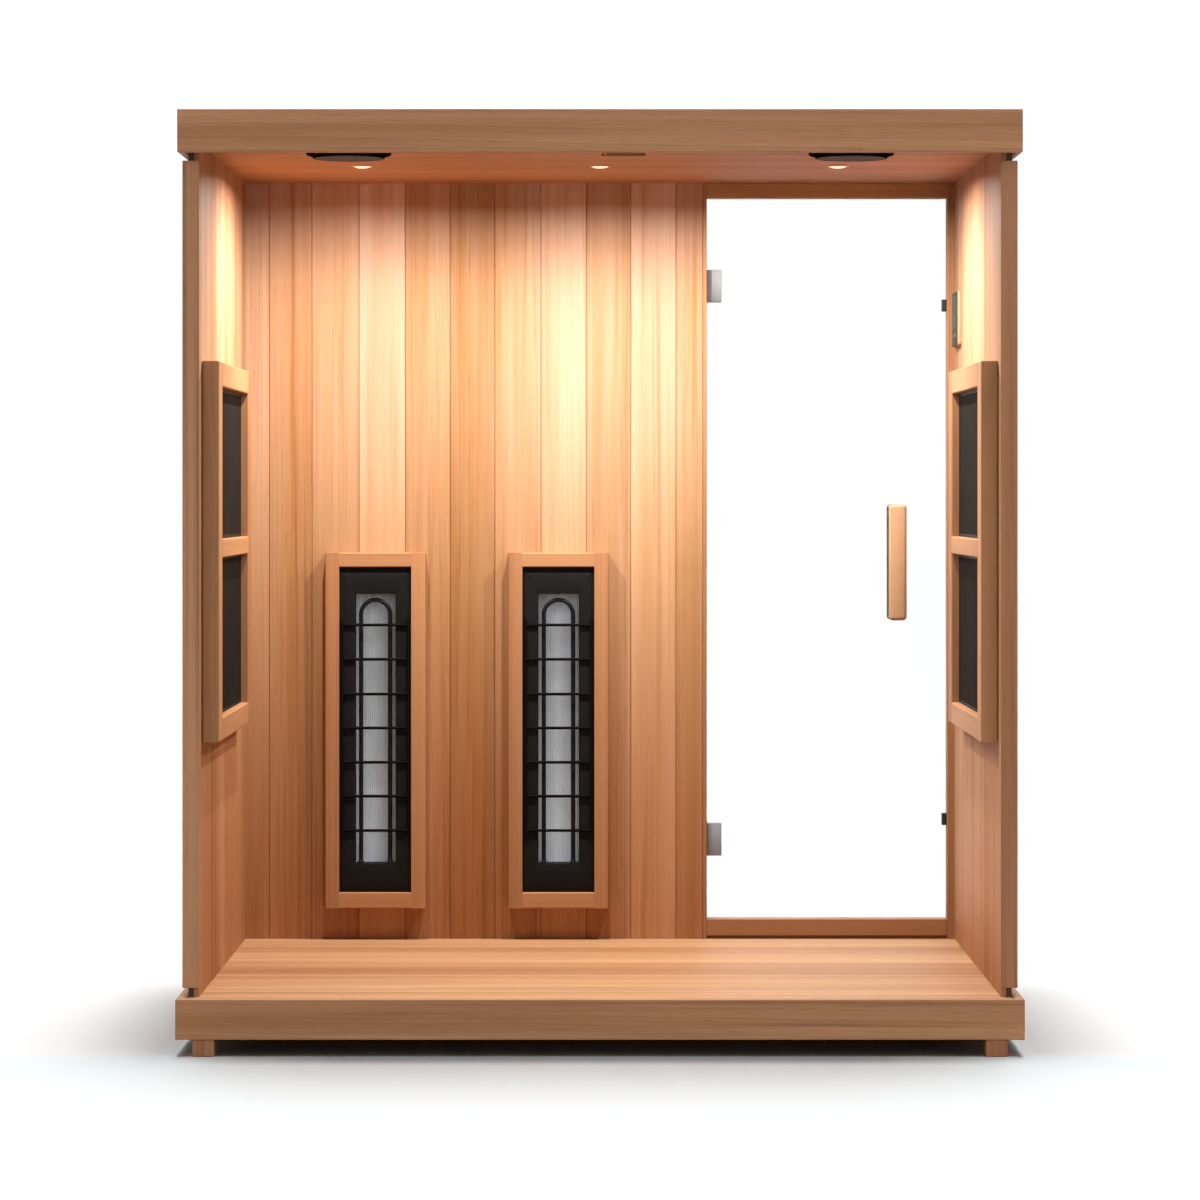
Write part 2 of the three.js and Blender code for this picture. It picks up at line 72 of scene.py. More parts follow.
# ================================================================= camera, light and floor
def setup_stage():
    cam_data = bpy.data.cameras.new("camera")
    cam_data.lens = 121.8
    cam_data.sensor_width = 36.0
    cam_data.shift_y = -0.0875
    cam_data.clip_end = 200.0
    cam = bpy.data.objects.new("camera", cam_data)
    cam.location = (0.0, -8.966, 1.1559)
    cam.rotation_euler = (math.radians(90), 0, 0)
    scene.collection.objects.link(cam)
    scene.camera = cam

    # Studio dome: a low even wall of light with one soft bank overhead, set a little behind the cabin; plain white
    # where it is looked at directly.
    world = bpy.data.worlds.new("studio")
    scene.world = world
    world.use_nodes = True
    t = world.node_tree
    t.nodes.clear()
    out = t.nodes.new("ShaderNodeOutputWorld")

    def calc(op, a, b=None):
        n = t.nodes.new("ShaderNodeMath")
        n.operation = op
        for k, x in enumerate((a, b)):
            if isinstance(x, bpy.types.NodeSocket):
                t.links.new(x, n.inputs[k])
            elif x is not None:
                n.inputs[k].default_value = x
        return n.outputs[0]

    geo = t.nodes.new("ShaderNodeTexCoord")
    xyz = t.nodes.new("ShaderNodeSeparateXYZ")
    t.links.new(geo.outputs["Generated"], xyz.inputs[0])
    across = calc("POWER", calc("DIVIDE", calc("ABSOLUTE", calc("SUBTRACT", xyz.outputs[0], BANK_RIGHT)), BANK_X), 2.0)
    along = calc("POWER", calc("DIVIDE", calc("ABSOLUTE", calc("SUBTRACT", xyz.outputs[1], BANK_AT)), BANK_Y), 2.0)
    bank = calc("EXPONENT", calc("MULTIPLY", calc("ADD", across, along), -0.5))
    bank = calc("MULTIPLY", bank, calc("GREATER_THAN", xyz.outputs[2], 0.0))
    dome = t.nodes.new("ShaderNodeBackground")
    dome.inputs["Color"].default_value = (1.0, 1.0, 1.0, 1.0)
    t.links.new(calc("ADD", calc("MULTIPLY", bank, BANK_LEVEL), DOME_SIDE), dome.inputs["Strength"])
    plain = t.nodes.new("ShaderNodeBackground")
    plain.inputs["Color"].default_value = (1.0, 1.0, 1.0, 1.0)
    plain.inputs["Strength"].default_value = 1.06
    path = t.nodes.new("ShaderNodeLightPath")
    mx = t.nodes.new("ShaderNodeMixShader")
    t.links.new(calc("MAXIMUM", path.outputs["Is Camera Ray"], path.outputs["Is Transmission Ray"]), mx.inputs[0])
    t.links.new(dome.outputs[0], mx.inputs[1])
    t.links.new(plain.outputs[0], mx.inputs[2])
    t.links.new(mx.outputs[0], out.inputs[0])

    scene.view_settings.view_transform = "Standard"
    scene.view_settings.look = "None"
    scene.view_settings.exposure = 0.0
    scene.view_settings.gamma = 1.0

    me = bpy.data.meshes.new("studio_floor")
    s = 60.0
    me.from_pydata([(-s, -s, 0), (s, -s, 0), (s, s, 0), (-s, s, 0)], [], [(0, 1, 2, 3)])
    floor = bpy.data.objects.new("studio_floor", me)
    scene.collection.objects.link(floor)
    # painted shadow on the studio floor: its colour is darkened by ambient occlusion beside the cabin and close in
    # front of its base
    m = Mat("studio_floor")
    path = m.new("ShaderNodeLightPath")
    near = m.new("ShaderNodeAmbientOcclusion", samples=8)
    near.inputs["Distance"].default_value = 0.32
    beside = m.math("MULTIPLY_ADD", m.math("ABSOLUTE", m.sep(m.coords())[0]), 12.0, -10.0, clamp=True)
    painted_contact_shadow = m.math("SUBTRACT", 1.0, m.mul(m.mul(beside, 0.85), m.math("SUBTRACT", 1.0, near.outputs["AO"])))
    close = m.new("ShaderNodeAmbientOcclusion", samples=8)
    close.inputs["Distance"].default_value = 0.13
    ahead = m.math("MULTIPLY_ADD", m.sep(m.coords())[1], -30.0, -18.0, clamp=True)
    middle = m.math("MULTIPLY_ADD", m.math("ABSOLUTE", m.sep(m.coords())[0]), -2.6, 2.4, clamp=True)
    lip = m.math("MINIMUM", m.mul(m.mul(m.mul(ahead, middle), 2.3), m.math("SUBTRACT", 1.0, close.outputs["AO"])), 0.7)
    painted_contact_shadow = m.mul(painted_contact_shadow, m.math("SUBTRACT", 1.0, lip))
    # painted light: the floor is painted cooler in front of the cabin, to cancel the warm light bounced from it
    cool = m.math("MULTIPLY_ADD", m.sep(m.coords())[1], -3.0, -1.4, clamp=True)
    paint = m.mix(cool, (0.975, 0.990, 0.995), (0.925, 0.985, 1.0))
    front = m.mul(ahead, m.math("MULTIPLY_ADD", m.sep(m.coords())[1], 3.0, 3.15, clamp=True))
    paint = m.mix(front, paint, m.vmul(paint, (0.955, 0.99, 1.0)))
    # diffuse rays see a dim, warm floor colour in place of the white, which dims and warms the light the floor bounces
    m.bsdf(Base_Color=m.mix(path.outputs["Is Diffuse Ray"], m.scale_colour(paint, painted_contact_shadow), (0.41, 0.345, 0.27)),
           Roughness=1.0, Specular_IOR_Level=0.0)
    me.materials.append(m.m)
    return floor


LAMPS = [(-526.5, 47.0), (0.0, 47.0), (526.5, 47.0)]
CEILING = 1885.6


def spare(ob):
    """Takes a piece out of the ceiling lamps' light."""
    spared = bpy.data.collections.get("not_lit_by_lamps") or bpy.data.collections.new("not_lit_by_lamps")
    spared.objects.link(ob)
    spared.collection_objects[len(spared.collection_objects) - 1].light_linking.link_state = "EXCLUDE"
    return spared


def light_floor(floor):
    """A soft light from overhead for the studio floor alone."""
    lit = bpy.data.collections.new("lit_by_floor_fill")
    lit.objects.link(floor)
    d = bpy.data.lights.new("floor_fill", "SUN")
    d.energy = 0.25
    d.angle = math.radians(90)
    o = bpy.data.objects.new("floor_fill", d)
    scene.collection.objects.link(o)
    o.light_linking.receiver_collection = lit
    return floor


def setup_lamps(floor):
    """Three ceiling lamps that light the cabin and leave the studio floor to the dome."""
    spared = spare(floor)
    for i, (x, y) in enumerate(LAMPS):
        d = bpy.data.lights.new(f"lamp_{i}", "AREA")
        d.shape = "DISK"
        d.size = 0.030
        d.spread = math.radians(170)
        d.energy = 15.6
        d.color = (1.0, 0.955, 0.905)
        o = bpy.data.objects.new(f"lamp_{i}", d)
        o.location = (x / 1000, (y + Y_SHIFT) / 1000, (CEILING - 6.6) / 1000)
        o.visible_camera = False
        scene.collection.objects.link(o)
        o.light_linking.receiver_collection = spared


REAR_TRIM = ("base_fascia", "foot_", "_wall_core_and_stile", "_wall_edge_board", "roof_fascia", "_heater_left_wood", "_heater_right_wood")
TUB = ("_reflector_sheet", "lower_hinge_clamp")
OUTSIDE = ("base_fascia", "foot_", "floor_joist", "_wall_core_and_stile", "roof_fascia", "_outer_boards", "door_frame",
           "_hinge_leaf", "_hinge_clamp", "door_handle_outer", "power_unit", "_catch_body")


def setup_fill():
    """Soft side lights, each linked to its own pieces: the outer faces, the rear ends of walls, trim and side heaters,
    and the heater reflectors with the lower hinge clamp.
    """
    for name, turn, keys, energy in (("fill_rear", 0, REAR_TRIM, 1.45), ("fill_tub", 0, TUB, 4.7), ("fill_front", 180, OUTSIDE, 1.8),
                                     ("fill_left", -90, OUTSIDE, 1.25), ("fill_right", 90, OUTSIDE, 1.25)):
        lit = bpy.data.collections.new(f"lit_by_{name}")
        for ob in scene.objects:
            if ob.type == "MESH" and any(k in ob.name for k in keys) and not (keys is REAR_TRIM and ob.name.startswith("front_heater")):
                lit.objects.link(ob)
        d = bpy.data.lights.new(name, "SUN")
        d.energy = energy
        d.angle = math.radians(100)
        o = bpy.data.objects.new(name, d)
        o.rotation_euler = (math.radians(75), 0.0, math.radians(turn))
        scene.collection.objects.link(o)
        o.light_linking.receiver_collection = lit


# ================================================================= node helper
class Mat:
    def __init__(self, name):
        self.m = bpy.data.materials.new(name)
        self.m.use_nodes = True
        self.t = self.m.node_tree
        self.t.nodes.clear()
        self.out = self.t.nodes.new("ShaderNodeOutputMaterial")

    def new(self, kind, **props):
        n = self.t.nodes.new(kind)
        for k, v in props.items():
            setattr(n, k, v)
        return n

    def put(self, sock, val):
        if isinstance(val, bpy.types.NodeSocket):
            self.t.links.new(val, sock)
        elif isinstance(val, (tuple, list)) and len(val) == 3 and sock.type == "RGBA":
            sock.default_value = (*val, 1.0)
        else:
            sock.default_value = val

    def math(self, op, a, b=None, c=None, clamp=False):
        n = self.new("ShaderNodeMath", operation=op, use_clamp=clamp)
        for i, x in enumerate((a, b, c)):
            if x is not None:
                self.put(n.inputs[i], x)
        return n.outputs[0]

    def add(self, a, b):
        return self.math("ADD", a, b)

    def mul(self, a, b):
        return self.math("MULTIPLY", a, b)

    def vmul(self, a, b):
        n = self.new("ShaderNodeVectorMath", operation="MULTIPLY")
        self.put(n.inputs[0], a)
        self.put(n.inputs[1], b)
        return n.outputs[0]

    def sep(self, v):
        n = self.new("ShaderNodeSeparateXYZ")
        self.put(n.inputs[0], v)
        return n.outputs

    def comb(self, x, y, z):
        n = self.new("ShaderNodeCombineXYZ")
        for i, a in enumerate((x, y, z)):
            self.put(n.inputs[i], a)
        return n.outputs[0]

    def attr(self, name):
        return self.new("ShaderNodeAttribute", attribute_name=name).outputs["Vector"]

    def coords(self):
        return self.new("ShaderNodeTexCoord").outputs["Object"]

    def noise(self, vec, scale=1.0, detail=2.0, rough=0.5, distortion=0.0):
        n = self.new("ShaderNodeTexNoise", noise_dimensions="3D")
        self.put(n.inputs["Vector"], vec)
        self.put(n.inputs["Scale"], scale)
        self.put(n.inputs["Detail"], detail)
        self.put(n.inputs["Roughness"], rough)
        self.put(n.inputs["Distortion"], distortion)
        return n.outputs[0]

    def noise1(self, w, scale=1.0, detail=1.0):
        n = self.new("ShaderNodeTexNoise", noise_dimensions="1D")
        self.put(n.inputs["W"], w)
        self.put(n.inputs["Scale"], scale)
        self.put(n.inputs["Detail"], detail)
        return n.outputs[0]

    def mix(self, fac, a, b, blend="MIX"):
        n = self.new("ShaderNodeMix", data_type="RGBA", blend_type=blend)
        self.put(n.inputs[0], fac)
        self.put(n.inputs[6], a)
        self.put(n.inputs[7], b)
        return n.outputs[2]

    def ramp(self, fac, stops, interp="LINEAR"):
        n = self.new("ShaderNodeValToRGB")
        n.color_ramp.interpolation = interp
        e = n.color_ramp.elements
        while len(e) < len(stops):
            e.new(0.5)
        for el, (p, c) in zip(e, stops):
            el.position = p
            el.color = (c, c, c, 1.0) if isinstance(c, (int, float)) else (*c, 1.0)
        self.put(n.inputs[0], fac)
        return n.outputs[0]

    def scale_colour(self, col, f):
        n = self.new("ShaderNodeVectorMath", operation="SCALE")
        self.put(n.inputs[0], col)
        self.put(n.inputs[3], f)
        return n.outputs[0]

    def bump(self, height, strength, distance, normal=None):
        n = self.new("ShaderNodeBump")
        self.put(n.inputs["Height"], height)
        n.inputs["Strength"].default_value = strength
        n.inputs["Distance"].default_value = distance
        if normal is not None:
            self.put(n.inputs["Normal"], normal)
        return n.outputs[0]

    def bsdf(self, **inputs):
        n = self.new("ShaderNodeBsdfPrincipled")
        for k, v in inputs.items():
            self.put(n.inputs[k.replace("_", " ")], v)
        self.t.links.new(n.outputs[0], self.out.inputs[0])
        return n


# ================================================================= materials
def cedar(name, light, dark, rough=0.52, contrast=1.0, ring=0.0040, spec=0.35, figure=1.0, lines=1.0):
    """Solid cedar: growth rings about each board's own heart, streaks, fibres and resin flecks, and on the wall boards
    painted light and shade by height.
    """
    m = Mat(name)
    g = m.attr("gco")
    bd = m.sep(m.attr("board"))
    tone, redness = bd[0], bd[1]
    u, v, w = m.sep(g)
    slow = m.add(m.noise(m.vmul(g, (1.1, 5.0, 5.0)), detail=2.0), -0.5)
    quick = m.add(m.noise(m.vmul(g, (5.0, 24.0, 24.0)), detail=2.0), -0.5)
    r = m.math("SQRT", m.add(m.mul(v, v), m.mul(w, w)))
    r = m.add(r, m.add(m.mul(slow, 0.016), m.mul(quick, 0.0022)))
    phase = m.math("DIVIDE", r, ring)
    uneven = m.noise1(phase, 0.45, 2.0)
    phase = m.add(phase, m.mul(uneven, 2.2))
    tooth = m.math("FRACT", phase)
    late = m.ramp(tooth, [(0.0, 0.05), (0.45, 0.12), (0.80, 0.75), (0.90, 1.0), (0.96, 0.35), (1.0, 0.05)])
    late = m.mul(late, m.math("MULTIPLY_ADD", uneven, 1.3, -0.1, clamp=True))
    broad = m.add(m.noise(m.vmul(g, (0.55, 17.0, 17.0)), detail=3.0, rough=0.55), -0.5)
    streak = m.add(m.noise(m.vmul(g, (1.7, 95.0, 95.0)), detail=3.0, rough=0.6), -0.5)
    fibre = m.add(m.noise(m.vmul(g, (13.0, 820.0, 820.0)), detail=2.0, rough=0.6), -0.5)
    vein = m.ramp(m.noise(m.vmul(g, (0.8, 62.0, 62.0)), detail=2.0), [(0.56, 0.0), (0.74, 1.0)])
    fleck = m.ramp(m.noise(m.vmul(g, (17.0, 330.0, 330.0)), detail=1.0), [(0.66, 0.0), (0.76, 1.0)])
    # hue moves from honey to red-brown along streaks, rings and from board to board
    mixf = m.add(0.5, m.mul(tone, -0.30))
    mixf = m.add(mixf, m.mul(broad, 0.95 * contrast * figure))
    mixf = m.add(mixf, m.mul(streak, 0.55 * contrast * figure))
    mixf = m.math("MULTIPLY_ADD", vein, 0.22 * contrast * figure, mixf)
    mixf = m.math("MULTIPLY_ADD", late, 0.30 * contrast * lines, mixf, clamp=True)
    col = m.mix(mixf, light, dark)
    col = m.mix(m.mul(redness, 0.5), col, m.mix(1.0, col, (1.06, 0.90, 0.80), "MULTIPLY"))
    val = m.add(1.0, m.mul(tone, 0.09))
    val = m.add(val, m.mul(streak, 0.30 * contrast))
    val = m.add(val, m.mul(fibre, 0.22 * contrast))
    val = m.add(val, m.mul(late, -0.16 * contrast * lines))
    val = m.add(val, m.mul(fleck, -0.16 * contrast))
    val = m.add(val, m.mul(vein, -0.06 * contrast * figure))
    # painted light and shade by height on the wall boards; the board's shade value picks the wall (1 left, -1 right, 2
    # front, 3 the front board by the door)
    z = m.sep(m.coords())[2]
    low = m.math("MULTIPLY_ADD", z, -1.15, 1.2, clamp=True)
    high = m.math("MULTIPLY_ADD", z, 5.0, -8.3, clamp=True)
    mid = m.math("MULTIPLY_ADD", z, -3.0, 3.97, clamp=True)
    # painted shade: left and front wall boards darker and richer towards the floor
    painted_low_shade = m.mul(low, m.math("MAXIMUM", m.math("MINIMUM", bd[2], 1.0), 0.0))
    # painted light: right wall boards paler towards the floor
    painted_low_light = m.mul(low, m.math("MAXIMUM", m.mul(bd[2], -1.0), 0.0))
    # painted light: front wall boards paler and bluer close under the ceiling
    grey = m.mul(high, m.math("MAXIMUM", m.add(bd[2], -1.0), 0.0))
    col = m.mix(painted_low_shade, col, m.mix(1.0, col, (0.94, 0.775, 0.70), "MULTIPLY"))
    # painted shade: left and front wall boards warmer, with less blue, from about 1.3 m down
    painted_mid_shade = m.mul(mid, m.math("MAXIMUM", m.math("MINIMUM", bd[2], 1.0), 0.0))
    col = m.mix(painted_mid_shade, col, m.vmul(col, (1.0, 0.985, 0.87)))
    # painted shade: the front board by the door darker from mid-height down
    painted_door_board_shade = m.mul(mid, m.math("MAXIMUM", m.add(bd[2], -2.0), 0.0))
    col = m.mix(painted_door_board_shade, col, m.vmul(col, (0.86, 0.80, 0.68)))
    col = m.mix(painted_low_light, col, m.vmul(col, (1.25, 1.24, 1.16)))
    col = m.mix(grey, col, m.vmul(col, (1.10, 1.10, 1.42)))
    # painted shade: side wall boards darker close under the ceiling
    dim = m.math("SUBTRACT", 1.0, m.math("ABSOLUTE", m.add(m.math("ABSOLUTE", bd[2]), -1.0)), clamp=True)
    col = m.mix(m.mul(high, dim), col, m.vmul(col, (0.89, 0.81, 0.80)))
    # painted shadow: a darker band on the front wall boards just under the ceiling, where the lamps' light is cut off
    band = m.mul(m.math("MULTIPLY_ADD", z, -30.0, 55.14, clamp=True), m.math("MULTIPLY_ADD", z, 12.0, -19.86, clamp=True))
    band = m.mul(band, m.math("SUBTRACT", bd[2], 1.0, clamp=True))
    col = m.mix(band, col, m.vmul(col, (0.84, 0.845, 0.79)))
    # painted light: in the lamps' pools, about 1.25 to 1.8 m up, the lighter front boards are painted a little darker
    # and less yellow
    painted_pool_tint = m.mul(m.math("MULTIPLY_ADD", z, 5.0, -6.25, clamp=True), m.math("MULTIPLY_ADD", z, -8.0, 14.4, clamp=True))
    painted_pool_tint = m.mul(m.mul(painted_pool_tint, m.math("MAXIMUM", tone, 0.0)), m.math("SUBTRACT", bd[2], 1.0, clamp=True))
    col = m.mix(painted_pool_tint, col, m.vmul(col, (0.95, 0.935, 0.99)))
    # painted shade: right wall boards darker right at the floor
    foot = m.mul(m.math("MULTIPLY_ADD", z, -6.67, 2.0, clamp=True), m.math("MAXIMUM", m.mul(bd[2], -1.0), 0.0))
    col = m.mix(foot, col, m.vmul(col, (0.78, 0.66, 0.57)))
    col = m.scale_colour(col, val)
    height = m.add(m.mul(fibre, 0.55), m.add(m.mul(late, 0.35), m.mul(fleck, -0.5)))
    ro = m.math("MULTIPLY_ADD", fibre, 0.22, rough)
    ro = m.math("MULTIPLY_ADD", late, -0.07, ro, clamp=True)
    m.bsdf(Base_Color=col, Roughness=ro, Specular_IOR_Level=spec,
           Normal=m.bump(height, 0.55, 0.0005))
    return m.m


def plywood(name, colour):
    """Thin sheet: face veneer with faint figure, layered edges."""
    m = Mat(name)
    p = m.coords()
    x, y, z = m.sep(p)
    fig = m.noise(m.vmul(p, (30.0, 30.0, 2.0)), detail=4.0, rough=0.6)
    ply = m.math("SINE", m.mul(m.add(x, m.mul(y, 1.0)), 2300.0))
    val = m.add(m.math("MULTIPLY_ADD", fig, 0.7, 0.62), m.mul(ply, 0.05))
    m.bsdf(Base_Color=m.scale_colour(colour, val), Roughness=m.math("MULTIPLY_ADD", fig, 0.2, 0.6),
           Specular_IOR_Level=0.25, Normal=m.bump(fig, 0.3, 0.0005))
    return m.m


def coated_steel(name, colour, rough, grain=2600.0, metallic=0.0, depth=0.00008, spec=0.5):
    """Powder coat: fine orange peel with small changes of sheen and shade."""
    m = Mat(name)
    p = m.coords()
    peel = m.noise(p, grain, 2.0, 0.5)
    cloud = m.noise(p, 14.0, 3.0, 0.55)
    val = m.add(0.78, m.add(m.mul(cloud, 0.3), m.mul(peel, 0.14)))
    m.bsdf(Base_Color=m.scale_colour(colour, val), Metallic=metallic,
           Roughness=m.add(rough - 0.07, m.add(m.mul(cloud, 0.12), m.mul(peel, 0.06))),
           Specular_IOR_Level=spec, Normal=m.bump(peel, 0.5, depth))
    return m.m


def brushed(name, colour, rough, along, metallic=1.0):
    """Brushed metal: long scratches along one axis."""
    m = Mat(name)
    p = m.coords()
    k = [1600.0, 1600.0, 1600.0]
    k[along] = 24.0
    line = m.noise(m.vmul(p, tuple(k)), detail=3.0, rough=0.65)
    cloud = m.noise(p, 22.0, 2.0)
    val = m.add(0.84, m.add(m.mul(line, 0.2), m.mul(cloud, 0.12)))
    m.bsdf(Base_Color=m.scale_colour(colour, val), Metallic=metallic,
           Roughness=m.add(rough - 0.08, m.add(m.mul(line, 0.16), m.mul(cloud, 0.06))),
           Normal=m.bump(line, 0.25, 0.00008))
    return m.m


def mesh_sheet(name, colour, hole, pitch, axes, rough=0.45, metallic=0.6, dark=0.18, spec=0.5):
    """Sheet with a regular field of small round holes, in the two given axes, painted on as darker dots with a bump:
    painted shade in place of openings.
    """
    m = Mat(name)
    p = m.sep(m.coords())
    a, b = p[axes[0]], p[axes[1]]
    row = m.math("FLOOR", m.math("DIVIDE", b, pitch))
    shift = m.mul(m.math("MODULO", row, 2.0), 0.5)
    fa = m.add(m.math("FRACT", m.add(m.math("DIVIDE", a, pitch), shift)), -0.5)
    fb = m.add(m.math("FRACT", m.math("DIVIDE", b, pitch)), -0.5)
    d = m.math("SQRT", m.add(m.mul(fa, fa), m.mul(fb, fb)))
    solid = m.ramp(d, [(max(0.0, hole - 0.08), 0.0), (hole + 0.06, 1.0)])
    cloud = m.noise(m.coords(), 18.0, 3.0)
    # painted shade: the holes take dark times the sheet's colour
    val = m.mul(m.math("MULTIPLY_ADD", solid, 1.0 - dark, dark), m.math("MULTIPLY_ADD", cloud, 0.3, 0.85))
    m.bsdf(Base_Color=m.scale_colour(colour, val), Metallic=metallic, Specular_IOR_Level=spec,
           Roughness=m.math("MULTIPLY_ADD", cloud, 0.15, rough), Normal=m.bump(solid, 0.6, 0.0004))
    return m.m


def carbon(name):
    """Heater sheet: fine woven cloth under a matt film, with faint bands of printed carbon."""
    m = Mat(name)
    p = m.coords()
    x, y, z = m.sep(p)
    wy = m.math("SINE", m.mul(y, 2 * math.pi / 0.0034))
    wz = m.math("SINE", m.mul(z, 2 * math.pi / 0.0034))
    weave = m.mul(wy, wz)
    band = m.math("SINE", m.mul(y, 2 * math.pi / 0.032))
    cloud = m.noise(p, 9.0, 3.0, 0.6)
    val = m.add(0.74, m.add(m.mul(weave, 0.16), m.add(m.mul(cloud, 0.45), m.mul(band, 0.05))))
    m.bsdf(Base_Color=m.scale_colour((0.0165, 0.0142, 0.0128), val),
           Roughness=m.math("MULTIPLY_ADD", weave, 0.06, 0.78), Specular_IOR_Level=0.02,
           Normal=m.bump(weave, 0.5, 0.0003))
    return m.m


def glass(name):
    """Clear toughened glass with the faintest green, and a few soft smears in its gloss; shadow and diffuse rays pass
    it through a dim blue filter, painted shade on the cabin's floor and walls near the door.
    """
    m = Mat(name)
    p = m.coords()
    smear = m.noise(m.vmul(p, (9.0, 9.0, 3.0)), detail=3.0)
    n = m.new("ShaderNodeBsdfPrincipled")
    m.put(n.inputs["Base Color"], m.mix(smear, (0.985, 0.997, 0.992), (0.992, 1.0, 0.997)))
    m.put(n.inputs["Roughness"], m.math("MULTIPLY_ADD", smear, 0.012, 0.0))
    n.inputs["IOR"].default_value = 1.3
    n.inputs["Transmission Weight"].default_value = 1.0
    # painted shade: shadow and diffuse rays pass the glass through this dim blue filter, which darkens and cools the
    # light reaching the cabin through the door
    clear = m.new("ShaderNodeBsdfTransparent")
    clear.inputs[0].default_value = (0.64, 0.75, 0.88, 1.0)
    path = m.new("ShaderNodeLightPath")
    pick = m.math("MAXIMUM", path.outputs["Is Shadow Ray"], path.outputs["Is Diffuse Ray"])
    mx = m.new("ShaderNodeMixShader")
    m.put(mx.inputs[0], pick)
    m.t.links.new(n.outputs[0], mx.inputs[1])
    m.t.links.new(clear.outputs[0], mx.inputs[2])
    m.t.links.new(mx.outputs[0], m.out.inputs[0])
    return m.m


def lens(name):
    """Frosted lamp lens, brightest in the middle of its prisms."""
    m = Mat(name)
    p = m.coords()
    cell = m.new("ShaderNodeTexVoronoi")
    m.put(cell.inputs["Vector"], p)
    cell.inputs["Scale"].default_value = 420.0
    prism = m.ramp(cell.outputs["Distance"], [(0.0, 1.0), (0.9, 0.75)])
    m.bsdf(Base_Color=(0.9, 0.84, 0.76), Roughness=0.45, Emission_Color=m.scale_colour((1.0, 0.80, 0.62), prism),
           Emission_Strength=1.08, Normal=m.bump(prism, 0.4, 0.0005))
    return m.m


def plastic(name, colour, rough, spec=0.5, grain=1800.0, bump=0.25):
    """Moulded plastic with a fine spark-eroded texture."""
    m = Mat(name)
    p = m.coords()
    tex = m.noise(p, grain, 2.0, 0.6)
    cloud = m.noise(p, 20.0, 3.0)
    val = m.add(0.82, m.add(m.mul(tex, 0.14), m.mul(cloud, 0.22)))
    m.bsdf(Base_Color=m.scale_colour(colour, val), Specular_IOR_Level=spec,
           Roughness=m.add(rough - 0.06, m.add(m.mul(tex, 0.08), m.mul(cloud, 0.06))),
           Normal=m.bump(tex, bump, 0.00006))
    return m.m


M = {}


def setup_materials():
    M["trim"] = cedar("cedar_trim", (0.51, 0.272, 0.140), (0.345, 0.158, 0.073), 0.62, 1.3, figure=1.8, lines=0.8)
    M["outside"] = cedar("cedar_exterior", (0.42, 0.235, 0.120), (0.265, 0.120, 0.055), 0.58, 1.0)
    M["inside"] = cedar("cedar_interior", (0.530, 0.342, 0.229), (0.335, 0.146, 0.043), 0.60, 1.0, spec=0.2, figure=1.3, lines=0.65)
    M["floor"] = cedar("cedar_floor", (0.575, 0.350, 0.188), (0.39, 0.188, 0.079), 0.54, 1.3, figure=1.6, lines=0.8)
    M["ceiling"] = cedar("cedar_ceiling", (0.535, 0.272, 0.144), (0.385, 0.162, 0.077), 0.62, 1.1, spec=0.2, figure=1.3)
    M["doorframe"] = cedar("door_frame_wood", (0.40, 0.21, 0.10), (0.265, 0.115, 0.05), 0.55, 1.0)
    M["heater"] = cedar("heater_frame_wood", (0.485, 0.258, 0.121), (0.338, 0.152, 0.064), 0.54, 0.9)
    M["handle"] = cedar("handle_wood", (0.565, 0.378, 0.225), (0.41, 0.222, 0.112), 0.45, 1.1, figure=1.4)
    M["vent"] = cedar("vent_wood", (0.52, 0.262, 0.134), (0.375, 0.157, 0.070), 0.62, 0.9, spec=0.2)
    M["joist"] = cedar("joist_wood", (0.36, 0.18, 0.085), (0.24, 0.105, 0.045), 0.60, 0.9)
    # painted shade: the wall core is a near-black brown, so the gaps where it shows read as shade
    M["core"] = plywood("wall_core", (0.075, 0.040, 0.021))
    M["roofply"] = plywood("roof_top_ply", (0.36, 0.24, 0.14))
    M["black"] = coated_steel("heater_black", (0.0085, 0.0080, 0.0080), 0.52, spec=0.12)
    M["guard"] = coated_steel("guard_black", (0.0045, 0.0042, 0.0042), 0.62, spec=0.04)
    M["element"] = coated_steel("element_black", (0.006, 0.006, 0.007), 0.4, 900.0, spec=0.2)
    M["reflector"] = mesh_sheet("reflector_grey", (0.595, 0.645, 0.69), 0.22, 0.0039, (0, 2), 0.6, 0.0, 0.6, 0.1)
    M["carbon"] = carbon("carbon_panel")
    M["glass"] = glass("door_glass")
    M["steel"] = brushed("hinge_steel", (0.215, 0.216, 0.220), 0.55, 2)
    M["screw"] = brushed("screw_steel", (0.42, 0.42, 0.43), 0.30, 0)
    M["catch"] = plastic("catch_black", (0.012, 0.012, 0.013), 0.45)
    M["spk_rim"] = plastic("speaker_black", (0.007, 0.0066, 0.006), 0.7, 0.0)
    M["spk_mesh"] = mesh_sheet("speaker_mesh", (0.17, 0.172, 0.20), 0.24, 0.0032, (0, 1), 0.8, 0.0, 0.35, 0.0)
    M["bezel"] = plastic("downlight_bezel", (0.62, 0.45, 0.31), 0.45, 0.2)
    M["lens"] = lens("downlight_lens")
    M["panel"] = plastic("control_face", (0.044, 0.036, 0.022), 0.55, 0.1)
    M["screen"] = plastic("control_screen", (0.034, 0.029, 0.019), 0.45, 0.12, 400.0, 0.02)
    M["button"] = plastic("button_grey", (0.085, 0.072, 0.050), 0.5, 0.2)
    M["power"] = coated_steel("power_box", (0.42, 0.43, 0.44), 0.42, 1500.0, 0.3)
    M["gland"] = plastic("gland_black", (0.014, 0.014, 0.015), 0.42)


